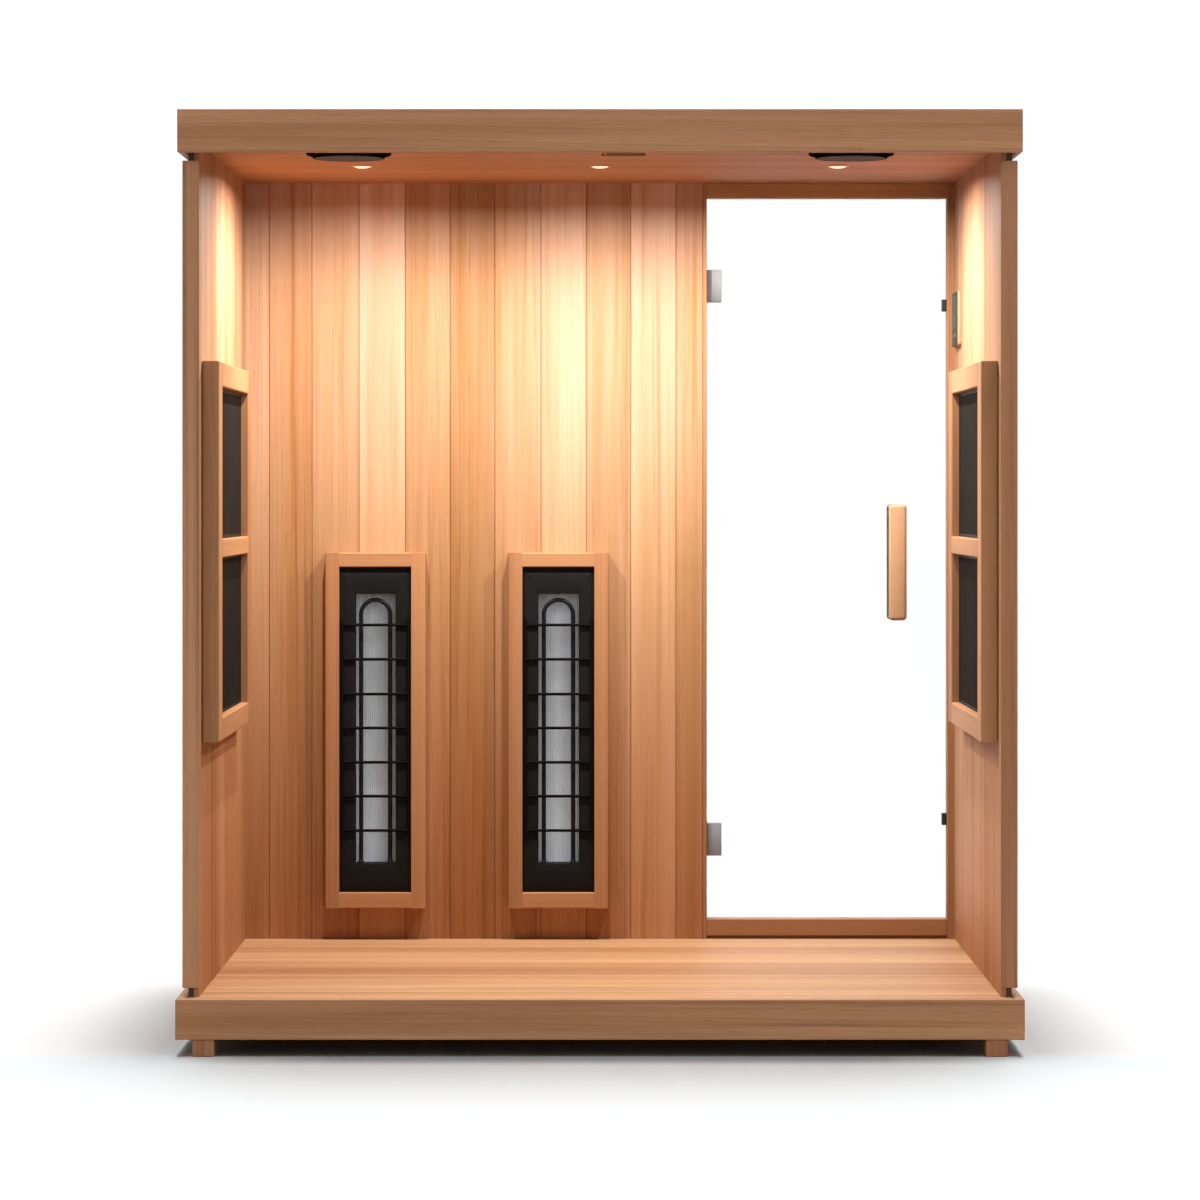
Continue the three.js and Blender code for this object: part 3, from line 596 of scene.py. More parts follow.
# ================================================================= mesh helpers
def from_bm(bm):
    bmesh.ops.recalc_face_normals(bm, faces=bm.faces)
    bm.verts.index_update()
    v = np.array([x.co[:] for x in bm.verts], float)
    f = [tuple(x.index for x in q.verts) for q in bm.faces]
    bm.free()
    return v, f


def to_bm(v, f):
    bm = bmesh.new()
    vs = [bm.verts.new(tuple(p)) for p in v]
    for q in f:
        bm.faces.new([vs[i] for i in q])
    return bm


BOX_FACES = [(0, 1, 3, 2), (4, 6, 7, 5), (0, 4, 5, 1), (2, 3, 7, 6), (0, 2, 6, 4), (1, 5, 7, 3)]


def block(x, y, z, r=1.5, seg=2, pick=None):
    """Box with rounded or chamfered edges; pick chooses which edges."""
    bm = to_bm([(X, Y, Z) for X in x for Y in y for Z in z], BOX_FACES)
    edges = [e for e in bm.edges if pick is None or pick(e)]
    if r > 0 and edges:
        bmesh.ops.bevel(bm, geom=edges, offset=r, offset_type="OFFSET", segments=seg,
                        profile=0.5, affect="EDGES", clamp_overlap=True)
    return from_bm(bm)


def on(axis, value, along=None):
    def f(e):
        a, b = e.verts
        if abs(a.co[axis] - value) > 1e-3 or abs(b.co[axis] - value) > 1e-3:
            return False
        return along is None or abs(a.co[along] - b.co[along]) > 1e-3
    return f


def raw_mesh(name, v, f):
    me = bpy.data.meshes.new(name)
    me.from_pydata([tuple(p) for p in v], [], f)
    me.update()
    return me


def carve(vf, cutters):
    """Subtracts closed shapes from a closed shape."""
    base = bpy.data.objects.new("tmp_base", raw_mesh("tmp_base", *vf))
    scene.collection.objects.link(base)
    temps = []
    for c in cutters:
        o = bpy.data.objects.new("tmp_cut", raw_mesh("tmp_cut", *c))
        scene.collection.objects.link(o)
        mod = base.modifiers.new("cut", "BOOLEAN")
        mod.operation = "DIFFERENCE"
        mod.solver = "EXACT"
        mod.object = o
        temps.append(o)
    dg = bpy.context.evaluated_depsgraph_get()
    me = bpy.data.meshes.new_from_object(base.evaluated_get(dg))
    v = np.array([x.co[:] for x in me.vertices], float)
    f = [tuple(p.vertices) for p in me.polygons]
    for o in [base, *temps]:
        d = o.data
        bpy.data.objects.remove(o)
        bpy.data.meshes.remove(d)
    bpy.data.meshes.remove(me)
    return v, f


def put2(pts, axis, h):
    out = np.zeros((len(pts), 3))
    a = np.asarray(pts, float)
    other = [i for i in range(3) if i != axis]
    out[:, other[0]] = a[:, 0]
    out[:, other[1]] = a[:, 1]
    out[:, axis] = h
    return out


def rrect(a, b, r, n=3):
    r = max(1e-3, min(r, (a[1] - a[0]) / 2 - 1e-3, (b[1] - b[0]) / 2 - 1e-3))
    pts = []
    for cx, cy, t0 in ((a[1] - r, b[1] - r, 0), (a[0] + r, b[1] - r, 90),
                       (a[0] + r, b[0] + r, 180), (a[1] - r, b[0] + r, 270)):
        for k in range(n + 1):
            t = math.radians(t0 + 90 * k / n)
            pts.append((cx + r * math.cos(t), cy + r * math.sin(t)))
    return pts


def loft(rings, caps=(True, True), closed=False):
    n, m = len(rings[0]), len(rings)
    v = np.concatenate(rings)
    f = []
    for i in range(m if closed else m - 1):
        a, b = i * n, ((i + 1) % m) * n
        f += [(a + k, a + (k + 1) % n, b + (k + 1) % n, b + k) for k in range(n)]
    if not closed and caps[0]:
        f.append(tuple(range(n - 1, -1, -1)))
    if not closed and caps[1]:
        f.append(tuple(range((m - 1) * n, m * n)))
    return from_bm(to_bm(v, f))


def plate(axis, a, b, h, r=3.0, e=1.0, n=4, seg=2):
    """Rounded rectangle plate across an axis from h[0] to h[1], all edges eased by e."""
    rings = []
    prof = [(e * (1 - math.sin(math.pi / 2 * k / seg)), e * (1 - math.cos(math.pi / 2 * k / seg)))
            for k in range(seg + 1)]
    steps = [(i, h[0] + d) for i, d in prof] + [(i, h[1] - d) for i, d in reversed(prof)]
    for inset, hh in steps:
        rings.append(put2(rrect((a[0] + inset, a[1] - inset), (b[0] + inset, b[1] - inset),
                                max(r - inset, 0.2), n), axis, hh))
    return loft(rings)


def spin(profile, axis, c, n=40, closed=False):
    """Turned shape: profile of (radius, height) about a line through c along axis."""
    ang = [2 * math.pi * k / n for k in range(n)]
    other = [i for i in range(3) if i != axis]
    v, f, rows = [], [], []
    for r, h in profile:
        if r <= 1e-6:
            p = [0.0, 0.0, 0.0]
            p[other[0]], p[other[1]], p[axis] = c[other[0]], c[other[1]], c[axis] + h
            rows.append([len(v)])
            v.append(p)
            continue
        row = []
        for t in ang:
            p = [0.0, 0.0, 0.0]
            p[other[0]] = c[other[0]] + r * math.cos(t)
            p[other[1]] = c[other[1]] + r * math.sin(t)
            p[axis] = c[axis] + h
            row.append(len(v))
            v.append(p)
        rows.append(row)
    m = len(rows)
    for i in range(m if closed else m - 1):
        a, b = rows[i], rows[(i + 1) % m]
        for k in range(n):
            k2 = (k + 1) % n
            if len(a) == 1 and len(b) == 1:
                continue
            if len(a) == 1:
                f.append((a[0], b[k2], b[k]))
            elif len(b) == 1:
                f.append((a[k], a[k2], b[0]))
            else:
                f.append((a[k], a[k2], b[k2], b[k]))
    if not closed:
        if len(rows[0]) > 1:
            f.append(tuple(reversed(rows[0])))
        if len(rows[-1]) > 1:
            f.append(tuple(rows[-1]))
    return from_bm(to_bm(v, f))


def tube(path, r, n=12, dome=0.0):
    """Round bar along a path, with flat or slightly domed ends."""
    p = [Vector(q) for q in path]
    t = [(p[min(i + 1, len(p) - 1)] - p[max(i - 1, 0)]).normalized() for i in range(len(p))]
    ref = Vector((0, 1, 0)) if abs(t[0].y) < 0.9 else Vector((1, 0, 0))
    rings = []
    side = t[0].cross(ref).normalized()
    for i, q in enumerate(p):
        side = (side - t[i] * side.dot(t[i])).normalized()
        up = t[i].cross(side)
        rings.append((q, side.copy(), up.copy(), r))
    if dome > 0:
        q, s, u, _ = rings[0]
        rings.insert(0, (q - t[0] * dome, s, u, r * 0.6))
        q, s, u, _ = rings[-1]
        rings.append((q + t[-1] * dome, s, u, r * 0.6))
    loops = []
    for q, s, u, rr in rings:
        loops.append(np.array([(q + s * (rr * math.cos(2 * math.pi * k / n)) + u * (rr * math.sin(2 * math.pi * k / n)))[:]
                               for k in range(n)]))
    return loft(loops)


class Piece:
    """One visible piece: several closed shapes, with grain coordinates where it is wood."""

    def __init__(self, name, body, slot, mats, replaces=()):
        self.name, self.body, self.slot = name, body, slot
        self.mats, self.rep = mats, replaces
        self.parts = []
        self.rng = random.Random(zlib.crc32(name.encode()))

    def solid(self, vf, mat=0, smooth=False):
        self.parts.append((vf[0], vf[1], mat, smooth, None, (0.0, 0.0, 0.0)))
        return self

    # shade picks the painted light and shade by height that cedar() puts on a wall board
    def wood(self, vf, grain, thick, tone=None, red=None, style=None, mat=0, smooth=False, shade=0.0):
        v = vf[0]
        rng = self.rng
        cross = 3 - grain - thick
        c = (v.min(0) + v.max(0)) / 2
        style = style or rng.choice(("quarter", "quarter", "rift", "rift", "flat"))
        sign = rng.choice((-1, 1))
        if style == "quarter":
            v0, d0 = sign * rng.uniform(110, 240), rng.uniform(-30, 40)
        elif style == "flat":
            v0, d0 = rng.uniform(-30, 30), rng.uniform(40, 100)
        else:
            v0, d0 = sign * rng.uniform(60, 110), rng.uniform(50, 110)
        taper = sign * rng.uniform(0.004, 0.016)
        u0 = rng.uniform(0, 30000)
        lu = v[:, grain] - c[grain]
        g = np.stack([(lu + u0), v[:, cross] - c[cross] + v0,
                      v[:, thick] - c[thick] + d0 + taper * lu], 1) / 1000.0
        tone = rng.uniform(-0.45, 0.45) if tone is None else tone + rng.uniform(-0.08, 0.08)
        red = rng.uniform(0.0, 0.7) if red is None else red
        rng.random()
        self.parts.append((v, vf[1], mat, smooth, g, (tone, red, shade)))
        return self

    def build(self):
        v, f, mi, sm, g, b = [], [], [], [], [], []
        o, any_g = 0, any(p[4] is not None for p in self.parts)
        for pv, pf, mat, smooth, pg, pb in self.parts:
            v.append(pv)
            f += [tuple(i + o for i in q) for q in pf]
            mi += [mat] * len(pf)
            sm += [smooth] * len(pf)
            o += len(pv)
            if any_g:
                g.append(pg if pg is not None else np.zeros((len(pv), 3)))
                b.append(np.tile(pb, (len(pv), 1)))
        co = (np.concatenate(v) + (0.0, Y_SHIFT, 0.0)) / 1000.0
        me = bpy.data.meshes.new(self.name)
        me.from_pydata(co.tolist(), [], f)
        me.polygons.foreach_set("material_index", mi)
        me.polygons.foreach_set("use_smooth", sm)
        for m in self.mats:
            me.materials.append(M[m])
        if any_g:
            a = me.attributes.new("gco", "FLOAT_VECTOR", "POINT")
            a.data.foreach_set("vector", np.concatenate(g).astype(np.float32).ravel())
            a = me.attributes.new("board", "FLOAT_VECTOR", "POINT")
            a.data.foreach_set("vector", np.concatenate(b).astype(np.float32).ravel())
        me.update()
        if any(sm):
            me.set_sharp_from_angle(angle=math.radians(38))
        ob = bpy.data.objects.new(self.name, me)
        scene.collection.objects.link(ob)
        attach(ob, self.body)
        if self.rep:
            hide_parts(*self.rep)
        return ob


def side(s, a, b):
    return (-b, -a) if s < 0 else (a, b)


def screw(axis, c, r, out, slot_depth=0.5):
    """Domed screw head; out is +1 or -1 along the axis."""
    return spin([(0, 0.9 * out), (r * 0.45, 0.85 * out), (r * 0.85, 0.5 * out), (r, 0.0), (r, -0.6 * out), (0, -0.6 * out)],
                axis, c, 20)


# ================================================================= base
def build_base():
    p = Piece("base_fascia_boards", "cabin", "cedar_trim", ["trim"], ["base_frame"])
    p.wood(block((-874, 874), (-600, -578.2), (35, 118), 1.8), 0, 1, 0.25, 0.3, "rift")
    p.wood(block((-874, 874), (578.2, 600), (35, 118), 1.8), 0, 1, 0.05, 0.35, "rift")
    p.wood(block((-874, -852.2), (-577.9, 577.9), (35, 118), 1.8), 1, 0, 0.0, 0.3, "rift")
    p.wood(block((852.2, 874), (-577.9, 577.9), (35, 118), 1.8), 1, 0, 0.1, 0.4, "rift")
    p.build()
    for name, s in (("left", -1), ("right", 1)):
        p = Piece(f"floor_joist_{name}_beam", "cabin", "wall_core", ["joist"], [f"floor_joist_{name}"])
        p.wood(block(side(s, 794, 839), (-577.6, 577.6), (35.2, 99.5), 2.0), 1, 0)
        p.build()
    p = Piece("floor_boards", "cabin", "cedar_floor", ["floor"], ["floor_deck"])
    n = 11
    tones = [0.55, 0.45, 0.25, 0.18, -1.10, -0.52, 0.30, 0.30, -0.60, 0.50, 0.60]
    w = 1155.0 / n
    for i in range(n):
        y0 = -577.5 + i * w
        p.wood(block((-851.5, 851.5), (y0 + 0.4, y0 + w - 0.4), (100.2, 118.0), 1.3, 1, on(2, 118.0, 0)),
               0, 2, tones[i], 0.15 + 0.3 * (i % 3 == 2))
    p.build()
    for name, sx, sy in (("foot_rear_left", -1, -1), ("foot_rear_right", 1, -1),
                         ("foot_front_left", -1, 1), ("foot_front_right", 1, 1)):
        p = Piece(f"{name}_block", "cabin", "cedar_trim", ["trim"], [name])
        p.wood(block(side(sx, 794, 839), side(sy, 520, 598), (0, 34.7), 2.2), 2, 0, -1.1, 1.0, "rift")
        p.build()


# ================================================================= walls
PITCH = 105.8
FRONT_SPLITS = [-851.7, -774.0, -674.0, -563.6, -456.0, -350.8, -246.0, -138.0, -32.3, 72.0, 177.7, 240.6]
FRONT_TONES = [0.12, -0.22, -0.05, 0.92, -0.30, -0.85, 0.08, 0.62, -0.28, 0.95, 0.15]
FRONT_HEATER_X = (-523.8, -97.0)


def build_walls():
    for name, s in (("left", -1), ("right", 1)):
        p = Piece(f"{name}_wall_inner_boards", "cabin", "cedar_interior", ["inside"], [f"{name}_wall_inner_cladding"])
        edge = Piece(f"{name}_wall_edge_board", "cabin", "cedar_interior", ["inside"])
        y1, k = 544.7, 0
        tones = [-0.3, 0.3, 0.5, 0.3, 0.0, 0.6, 0.1, -0.4, 0.1, 0.4, 0.0]
        face = s * 828.9
        while y1 > -551.0:
            y0 = max(y1 - PITCH, -551.7)
            # left wall boards take the painted shade by height, right wall boards the painted light and the painted
            # shade at the floor
            (p if k < 10 else edge).wood(block(side(s, 828.9, 840.0), (y0 + 0.3, y1 - 0.3), (118.3, 1885.3), 1.6, 1, on(0, face, 2)),
                                         2, 0, tones[k % len(tones)], shade=1.0 if s < 0 else -1.0)
            y1, k = y0, k + 1
        p.build()
        edge.build()
        p = Piece(f"{name}_wall_core_and_stile", "cabin", "wall_core", ["core", "trim"], [f"{name}_wall_frame"])
        p.wood(block(side(s, 840.4, 851.6), (-552.0, 544.6), (118.4, 1885.2), 0.0), 2, 0, mat=0)
        p.wood(block(side(s, 828.9, 863.5), (-558.0, -552.2), (136.8, 1847.3), 1.4), 2, 1,
               0.1 if s < 0 else -0.4, 0.2 if s < 0 else 0.6, "quarter", mat=1)
        p.build()
        p = Piece(f"{name}_wall_outer_boards", "cabin", "cedar_exterior", ["outside"], [f"{name}_wall_outer_cladding"])
        y1 = 590.0
        face = s * 863.5
        while y1 > -551.0:
            y0 = max(y1 - PITCH, -551.7)
            if y0 - (-551.7) < 30:
                y0 = -551.7
            p.wood(block(side(s, 852.0, 863.5), (y0 + 0.45, y1 - 0.45), (136.8, 1847.3), 2.2, 1, on(0, face, 2)), 2, 0)
            y1 = y0
        p.build()

    p = Piece("front_wall_inner_boards", "cabin", "cedar_interior", ["inside"], ["front_wall_inner_cladding"])
    holes = [block((x - 50, x + 50), (530, 570), (293, 928.6), 0) for x in FRONT_HEATER_X]
    for i, (a, b) in enumerate(zip(FRONT_SPLITS, FRONT_SPLITS[1:])):
        vf = block((a + 0.3, b - 0.3), (545.0, 556.0), (118.3, 1885.3), 1.6, 1, on(1, 545.0, 2))
        cut = [h for h, x in zip(holes, FRONT_HEATER_X) if a < x + 50 and b > x - 50]
        # the front board by the door (shade 3.0) takes extra painted shade from mid-height down
        p.wood(carve(vf, cut) if cut else vf, 2, 1, FRONT_TONES[i], 0.05 + 0.12 * (FRONT_TONES[i] < 0),
               "rift" if i % 3 == 1 else "quarter", shade=3.0 if i == 10 else 2.0)
    p.build()
    # the front wall core takes the same dark core colour, painted shade behind the board joints
    NODES["front_wall_core"].data.materials.clear()
    NODES["front_wall_core"].data.materials.append(M["core"])

    p = Piece("front_wall_outer_boards", "cabin", "cedar_exterior", ["outside"], ["front_wall_outer_cladding"])
    for a, b in zip(FRONT_SPLITS, FRONT_SPLITS[1:]):
        p.wood(block((a + 0.45, b - 0.45), (578.0, 590.0), (136.8, 1847.3), 2.2, 1, on(1, 590.0, 2)), 2, 1)
    p.build()

    p = Piece("door_frame_boards", "cabin", "door_frame_wood", ["doorframe"], ["door_frame"])
    p.wood(block((240.9, 249.8), (545, 577.7), (118.3, 1885.3), 1.2), 2, 1, 0.15, 0.4, "quarter")
    p.wood(block((812, 851.7), (545, 577.7), (118.3, 1885.3), 1.2), 2, 1, 0.0, 0.4, "quarter")
    p.wood(block((250.0, 811.8), (545, 577.7), (1850.5, 1885.3), 1.2), 0, 1, 0.9, 0.2, "quarter")
    p.wood(block((250.0, 811.8), (545, 590), (125.4, 164.2), 1.6), 0, 1, 0.35, 0.4, "quarter")
    # painted shade: a recessed strip under the sill in the darkest tone, for the dark line under the sill; the recess
    # shades it too
    p.wood(block((250.0, 811.8), (552, 590), (118.3, 125.2), 0.4), 0, 1, -0.9, 0.6, "quarter")
    p.wood(block((240.9, 249.8), (577.9, 590), (118.3, 1861.1), 1.2), 2, 1, 0.1, 0.4, "quarter")
    p.wood(block((812, 851.7), (577.9, 590), (118.3, 1861.1), 1.2), 2, 1, 0.1, 0.4, "quarter")
    p.wood(block((250.0, 811.8), (577.9, 590), (1850.5, 1861.1), 1.2), 0, 1, 0.0, 0.4, "quarter")
    p.build()


# ================================================================= roof
def build_roof():
    for name, x, y, grain, thick in (
            ("rear", (-870, 870), (-600, -578), 0, 1), ("front", (-870, 870), (578, 600), 0, 1),
            ("left", (-870, -852.5), (-577.7, 577.7), 1, 0), ("right", (852.5, 870), (-577.7, 577.7), 1, 0)):
        p = Piece(f"roof_fascia_{name}_board", "cabin", "cedar_trim", ["trim"], [f"roof_fascia_{name}"])
        p.wood(block(x, y, (1861.4, 1950), 1.8), grain, thick, 0.1, 0.3, "rift")
        p.build()

    p = Piece("roof_ceiling_boards", "cabin", "cedar_ceiling", ["ceiling", "roofply"], ["roof_panel"])
    vent = block((4, 97), (-377, -237), (1870, 1930), 0)
    n = 11
    w = 1155.0 / n
    for i in range(n):
        y0 = -577.5 + i * w
        vf = block((-852.0, 852.0), (y0 + 0.3, y0 + w - 0.3), (1885.6, 1889.2), 1.2, 1, on(2, 1885.6, 0))
        if y0 < -237 and y0 + w > -377:
            vf = carve(vf, [vent])
        p.wood(vf, 0, 2)
    core = carve(block((-852.0, 852.0), (-577.4, 577.4), (1889.4, 1917.0), 0),
                 [vent, block((-82, 100), (-385, -229), (1880, 1896.6), 0)])
    p.wood(core, 0, 2, mat=1)
    p.build()

    p = Piece("vent_bezel", "cabin", "vent_wood", ["vent"], ["vent_frame"])
    z = (1883.3, 1885.3)
    p.wood(block((-8, 3), (-389, -225), z, 0.6), 1, 2)
    p.wood(block((98, 109), (-389, -225), z, 0.6), 1, 2)
    p.wood(block((3.2, 97.8), (-389, -378), z, 0.6), 0, 2)
    p.wood(block((3.2, 97.8), (-236, -225), z, 0.6), 0, 2)
    p.build()

    p = Piece("vent_shutter_board", "vent_shutter", "vent_wood", ["vent"], ["vent_slider"])
    p.wood(block((-80, 14), (-384, -230), (1890, 1896), 0.8), 1, 2)
    p.wood(block((8, 14), (-352, -262), (1883.6, 1889.8), 1.0), 1, 2)
    p.build()

    p = Piece("power_unit_cover", "cabin", "power_box", ["power", "screw", "gland"], ["power_unit"])
    a, b, t = (-190, 190), (60, 290), 1.5
    rings = []
    for inset, h in ((t + 2.5, 1945.5 - t + 1.5), (t + 0.6, 1944.0 - 0.4), (t, 1942.0), (t, 1917.3), (0.0, 1917.3),
                     (0.0, 1942.5), (1.3, 1945.7), (4.5, 1947.0)):
        rings.append(put2(rrect((a[0] + inset, a[1] - inset), (b[0] + inset, b[1] - inset), 5.0, 3), 2, h))
    p.solid(loft(rings), 0)
    for x in (-160, 160):
        for y in (82, 268):
            p.solid(screw(2, (x, y, 1947.0), 4.2, 1), 1, True)
    for k in range(12):
        x = -110 + 20 * k
        p.solid(plate(1, (x - 4.2, x + 4.2), (1922, 1938), (59.2, 60.4), 3.5, 0.4, 3, 1), 2)
    c = (190.0, 175.0, 1932.0)
    hexagon = [(10.4 * math.cos(math.radians(60 * k + 30)), 10.4 * math.sin(math.radians(60 * k + 30))) for k in range(6)]
    p.solid(loft([put2([(c[1] + q[0] * s, c[2] + q[1] * s) for q in hexagon], 0, h)
                  for h, s in ((190.1, 0.94), (190.9, 1.0), (195.0, 1.0), (195.8, 0.94))]), 2)
    p.solid(spin([(0, 1.0), (8.6, 1.0), (8.9, 8.0), (7.6, 13.0), (5.6, 15.8), (4.2, 16.0), (4.0, 12.0), (0, 12.0)], 0, c, 28), 2, True)
    p.build()

    for name, s in (("left", -1), ("right", 1)):
        c = (s * 535.5, -296.0, CEILING)
        p = Piece(f"speaker_{name}_unit", "cabin", "speaker_black", ["spk_rim", "spk_mesh"], [f"speaker_{name}"])
        p.solid(spin([(77.2, -0.4), (77.2, -6.2), (79.0, -7.2), (86.0, -6.9), (89.6, -5.6), (91.0, -3.4), (91.0, -0.4)],
                     2, c, 64, True), 0, True)
        p.solid(spin([(73.6, -0.4), (73.6, -12.5), (74.4, -13.0), (75.8, -12.6), (76.8, -11.4), (76.8, -0.4)], 2, c, 64, True), 0, True)
        p.solid(spin([(0, -13.8), (25, -13.7), (50, -13.3), (66, -12.9), (73.4, -12.6), (73.4, -0.4), (0, -0.4)], 2, c, 64), 1, True)
        p.build()
    for (x, y), name in zip(LAMPS, ("left", "centre", "right")):
        c = (x, y, CEILING)
        p = Piece(f"downlight_{name}_unit", "cabin", "downlight", ["bezel", "lens"], [f"downlight_{name}"])
        p.solid(spin([(18.6, -0.4), (18.6, -2.2), (19.4, -2.8), (22.6, -2.7), (25.0, -2.1), (26.0, -1.2), (26.0, -0.4)],
                     2, c, 48, True), 0, True)
        p.solid(spin([(0, -6.0), (5, -5.9), (10, -5.4), (14, -4.6), (17, -3.4), (18.4, -2.0), (18.4, -0.4), (0, -0.4)], 2, c, 48), 1, True)
        p.build()


# ================================================================= heaters
def build_front_heaters():
    for cx, name in zip(FRONT_HEATER_X, ("left", "right")):
        n = f"front_heater_{name}"
        p = Piece(f"{n}_wood", "cabin", "heater_frame_wood", ["heater"], [f"{n}_frame"])
        y, z = (507, 544.7), (193, 1021.5)
        p.wood(block((cx - 116.5, cx - 84), y, z, 2.4, 2, on(0, cx - 116.5)), 2, 1, -0.25, 0.45, "quarter")
        p.wood(block((cx + 84, cx + 116.5), y, z, 2.4, 2, on(0, cx + 116.5)), 2, 1, 0.3, 0.5, "quarter")
        p.wood(block((cx - 83.9, cx + 83.9), y, (988, 1021.5), 2.4, 2, on(1, y[0], 0)), 0, 1, 0.25, 0.3, "quarter")
        p.wood(block((cx - 83.9, cx + 83.9), y, (193, 230), 2.4, 2, on(1, y[0], 0)), 0, 1, 0.9, 0.4, "quarter")
        p.build()

        p = Piece(f"{n}_steel", "cabin", "heater_black", ["black", "screw"], [f"{n}_housing"])
        rings = []
        for half, z0, z1, yy, r in ((47.5, 296, 925.6, 567.5, 2), (47.5, 296, 925.6, 516.0, 2), (47.8, 295.7, 925.9, 515.3, 2.2),
                                    (48.5, 295, 926.6, 515.0, 3), (82.0, 232.0, 986.0, 515.0, 1.6), (83.2, 230.8, 987.2, 515.5, 1.8),
                                    (83.7, 230.3, 987.7, 516.7, 2), (83.7, 230.3, 987.7, 544.4, 2), (82.2, 231.8, 986.2, 544.4, 1),
                                    (82.2, 231.8, 986.2, 517.0, 1), (49.0, 294.5, 927.1, 517.0, 2), (49.0, 294.5, 927.1, 569.0, 2)):
            rings.append(put2(rrect((cx - half, cx + half), (z0, z1), r, 3), 1, yy))
        p.solid(loft(rings), 0)
        for dx in (-68, 68):
            for zz in (250, 968):
                p.solid(screw(1, (cx + dx, 515.0, zz), 3.4, -1), 0, True)
        p.build()

        p = Piece(f"{n}_reflector_sheet", "cabin", "reflector_grey", ["reflector"], [f"{n}_reflector"])
        ribs, half = 22, 47.0
        front, k = [], ribs * 6
        for i in range(k + 1):
            x = -half + 2 * half * i / k
            front.append((cx + x, 563.4 - 1.5 * math.cos(2 * math.pi * ribs * (x + half) / (2 * half))))
        outline = front + [(cx + half, 567.1), (cx - half, 567.1)]
        loops = []
        for zz in (296.6, 925.0):
            loops.append(np.array([(a, b, zz) for a, b in outline]))
        p.solid(loft(loops), 0, True)
        spare(p.build())

        p = Piece(f"{n}_hairpin", "cabin", "element_black", ["element", "gland"], [f"{n}_element"])
        path = [(cx - 34, 527, 296.8), (cx - 34, 527, 420), (cx - 34, 527, 560), (cx - 34, 527, 700), (cx - 34, 527, 800)]
        path += [(cx - 34 * math.cos(math.pi * i / 28), 527, 877 + 34 * math.sin(math.pi * i / 28)) for i in range(29)]
        path += [(cx + 34, 527, 800), (cx + 34, 527, 700), (cx + 34, 527, 560), (cx + 34, 527, 420), (cx + 34, 527, 296.8)]
        p.solid(tube(path, 5.0, 20), 0, True)
        for dx in (-34, 34):
            p.solid(spin([(5.05, 0.2), (5.9, 0.2), (6.2, 0.8), (6.2, 8.0), (5.8, 8.8), (5.05, 8.8)], 2, (cx + dx, 527, 296.6), 24, True), 1, True)
        p.build()

        p = Piece(f"{n}_wire_guard", "cabin", "heater_black", ["guard"], [f"{n}_guard"])
        yy = 511.3
        for zz in (374, 454, 533, 613, 692, 773, 853):
            p.solid(tube([(cx - 79, yy, zz), (cx, yy, zz), (cx + 79, yy, zz)], 3.3, 14, 0.8), 0, True)
        for dx in (-77, 77):
            p.solid(tube([(cx + dx, yy, 360), (cx + dx, yy, 600), (cx + dx, yy, 867)], 3.3, 14, 0.8), 0, True)
        p.build()


def build_side_heaters():
    yc = -100.5
    for name, s in (("left", -1), ("right", 1)):
        n = f"side_heater_{name}"

        def xs(a, b):
            return side(s, 828.9 - b, 828.9 - a)

        p = Piece(f"{n}_wood", "cabin", "heater_frame_wood", ["heater"], [f"{n}_frame"])
        x = xs(0.3, 35.6)
        p.wood(block(x, (yc - 395.5, yc - 317), (640, 1435.5), 2.6), 2, 0, 0.55 if s < 0 else 0.95, 0.2, "quarter")
        p.wood(block(x, (yc + 317, yc + 395.5), (640, 1435.5), 2.6), 2, 0, -0.9, 0.1, "quarter")
        for z0, z1 in ((1384, 1435.5), (1024, 1062.5), (640, 688)):
            p.wood(block(x, (yc - 316.9, yc + 316.9), (z0, z1), 2.6), 1, 0, 0.15, 0.3, "quarter")
        p.build()
        for level, z0, z1 in (("upper", 1062.5, 1384), ("lower", 688, 1024)):
            p = Piece(f"{n}_{level}_sheet", "cabin", "carbon_panel", ["carbon", "black"], [f"{n}_{level}_panel"])
            x = xs(0.3, 18.2)
            p.solid(plate(0, (yc - 316.6, yc + 316.6), (z0 + 0.4, z1 - 0.4), x, 3.0, 0.6, 3, 1), 0)
            xb = xs(17.6, 18.6)
            for y0, y1, a, b in ((yc - 316.6, yc + 316.6, z0 + 0.4, z0 + 7), (yc - 316.6, yc + 316.6, z1 - 7, z1 - 0.4),
                                 (yc - 316.6, yc - 310, z0 + 7.2, z1 - 7.2), (yc + 310, yc + 316.6, z0 + 7.2, z1 - 7.2)):
                p.solid(block(xb, (y0, y1), (a, b), 0.4, 1), 1)
            p.build()


# ================================================================= door
HINGES = (("lower", 348.0), ("upper", 1646.0))


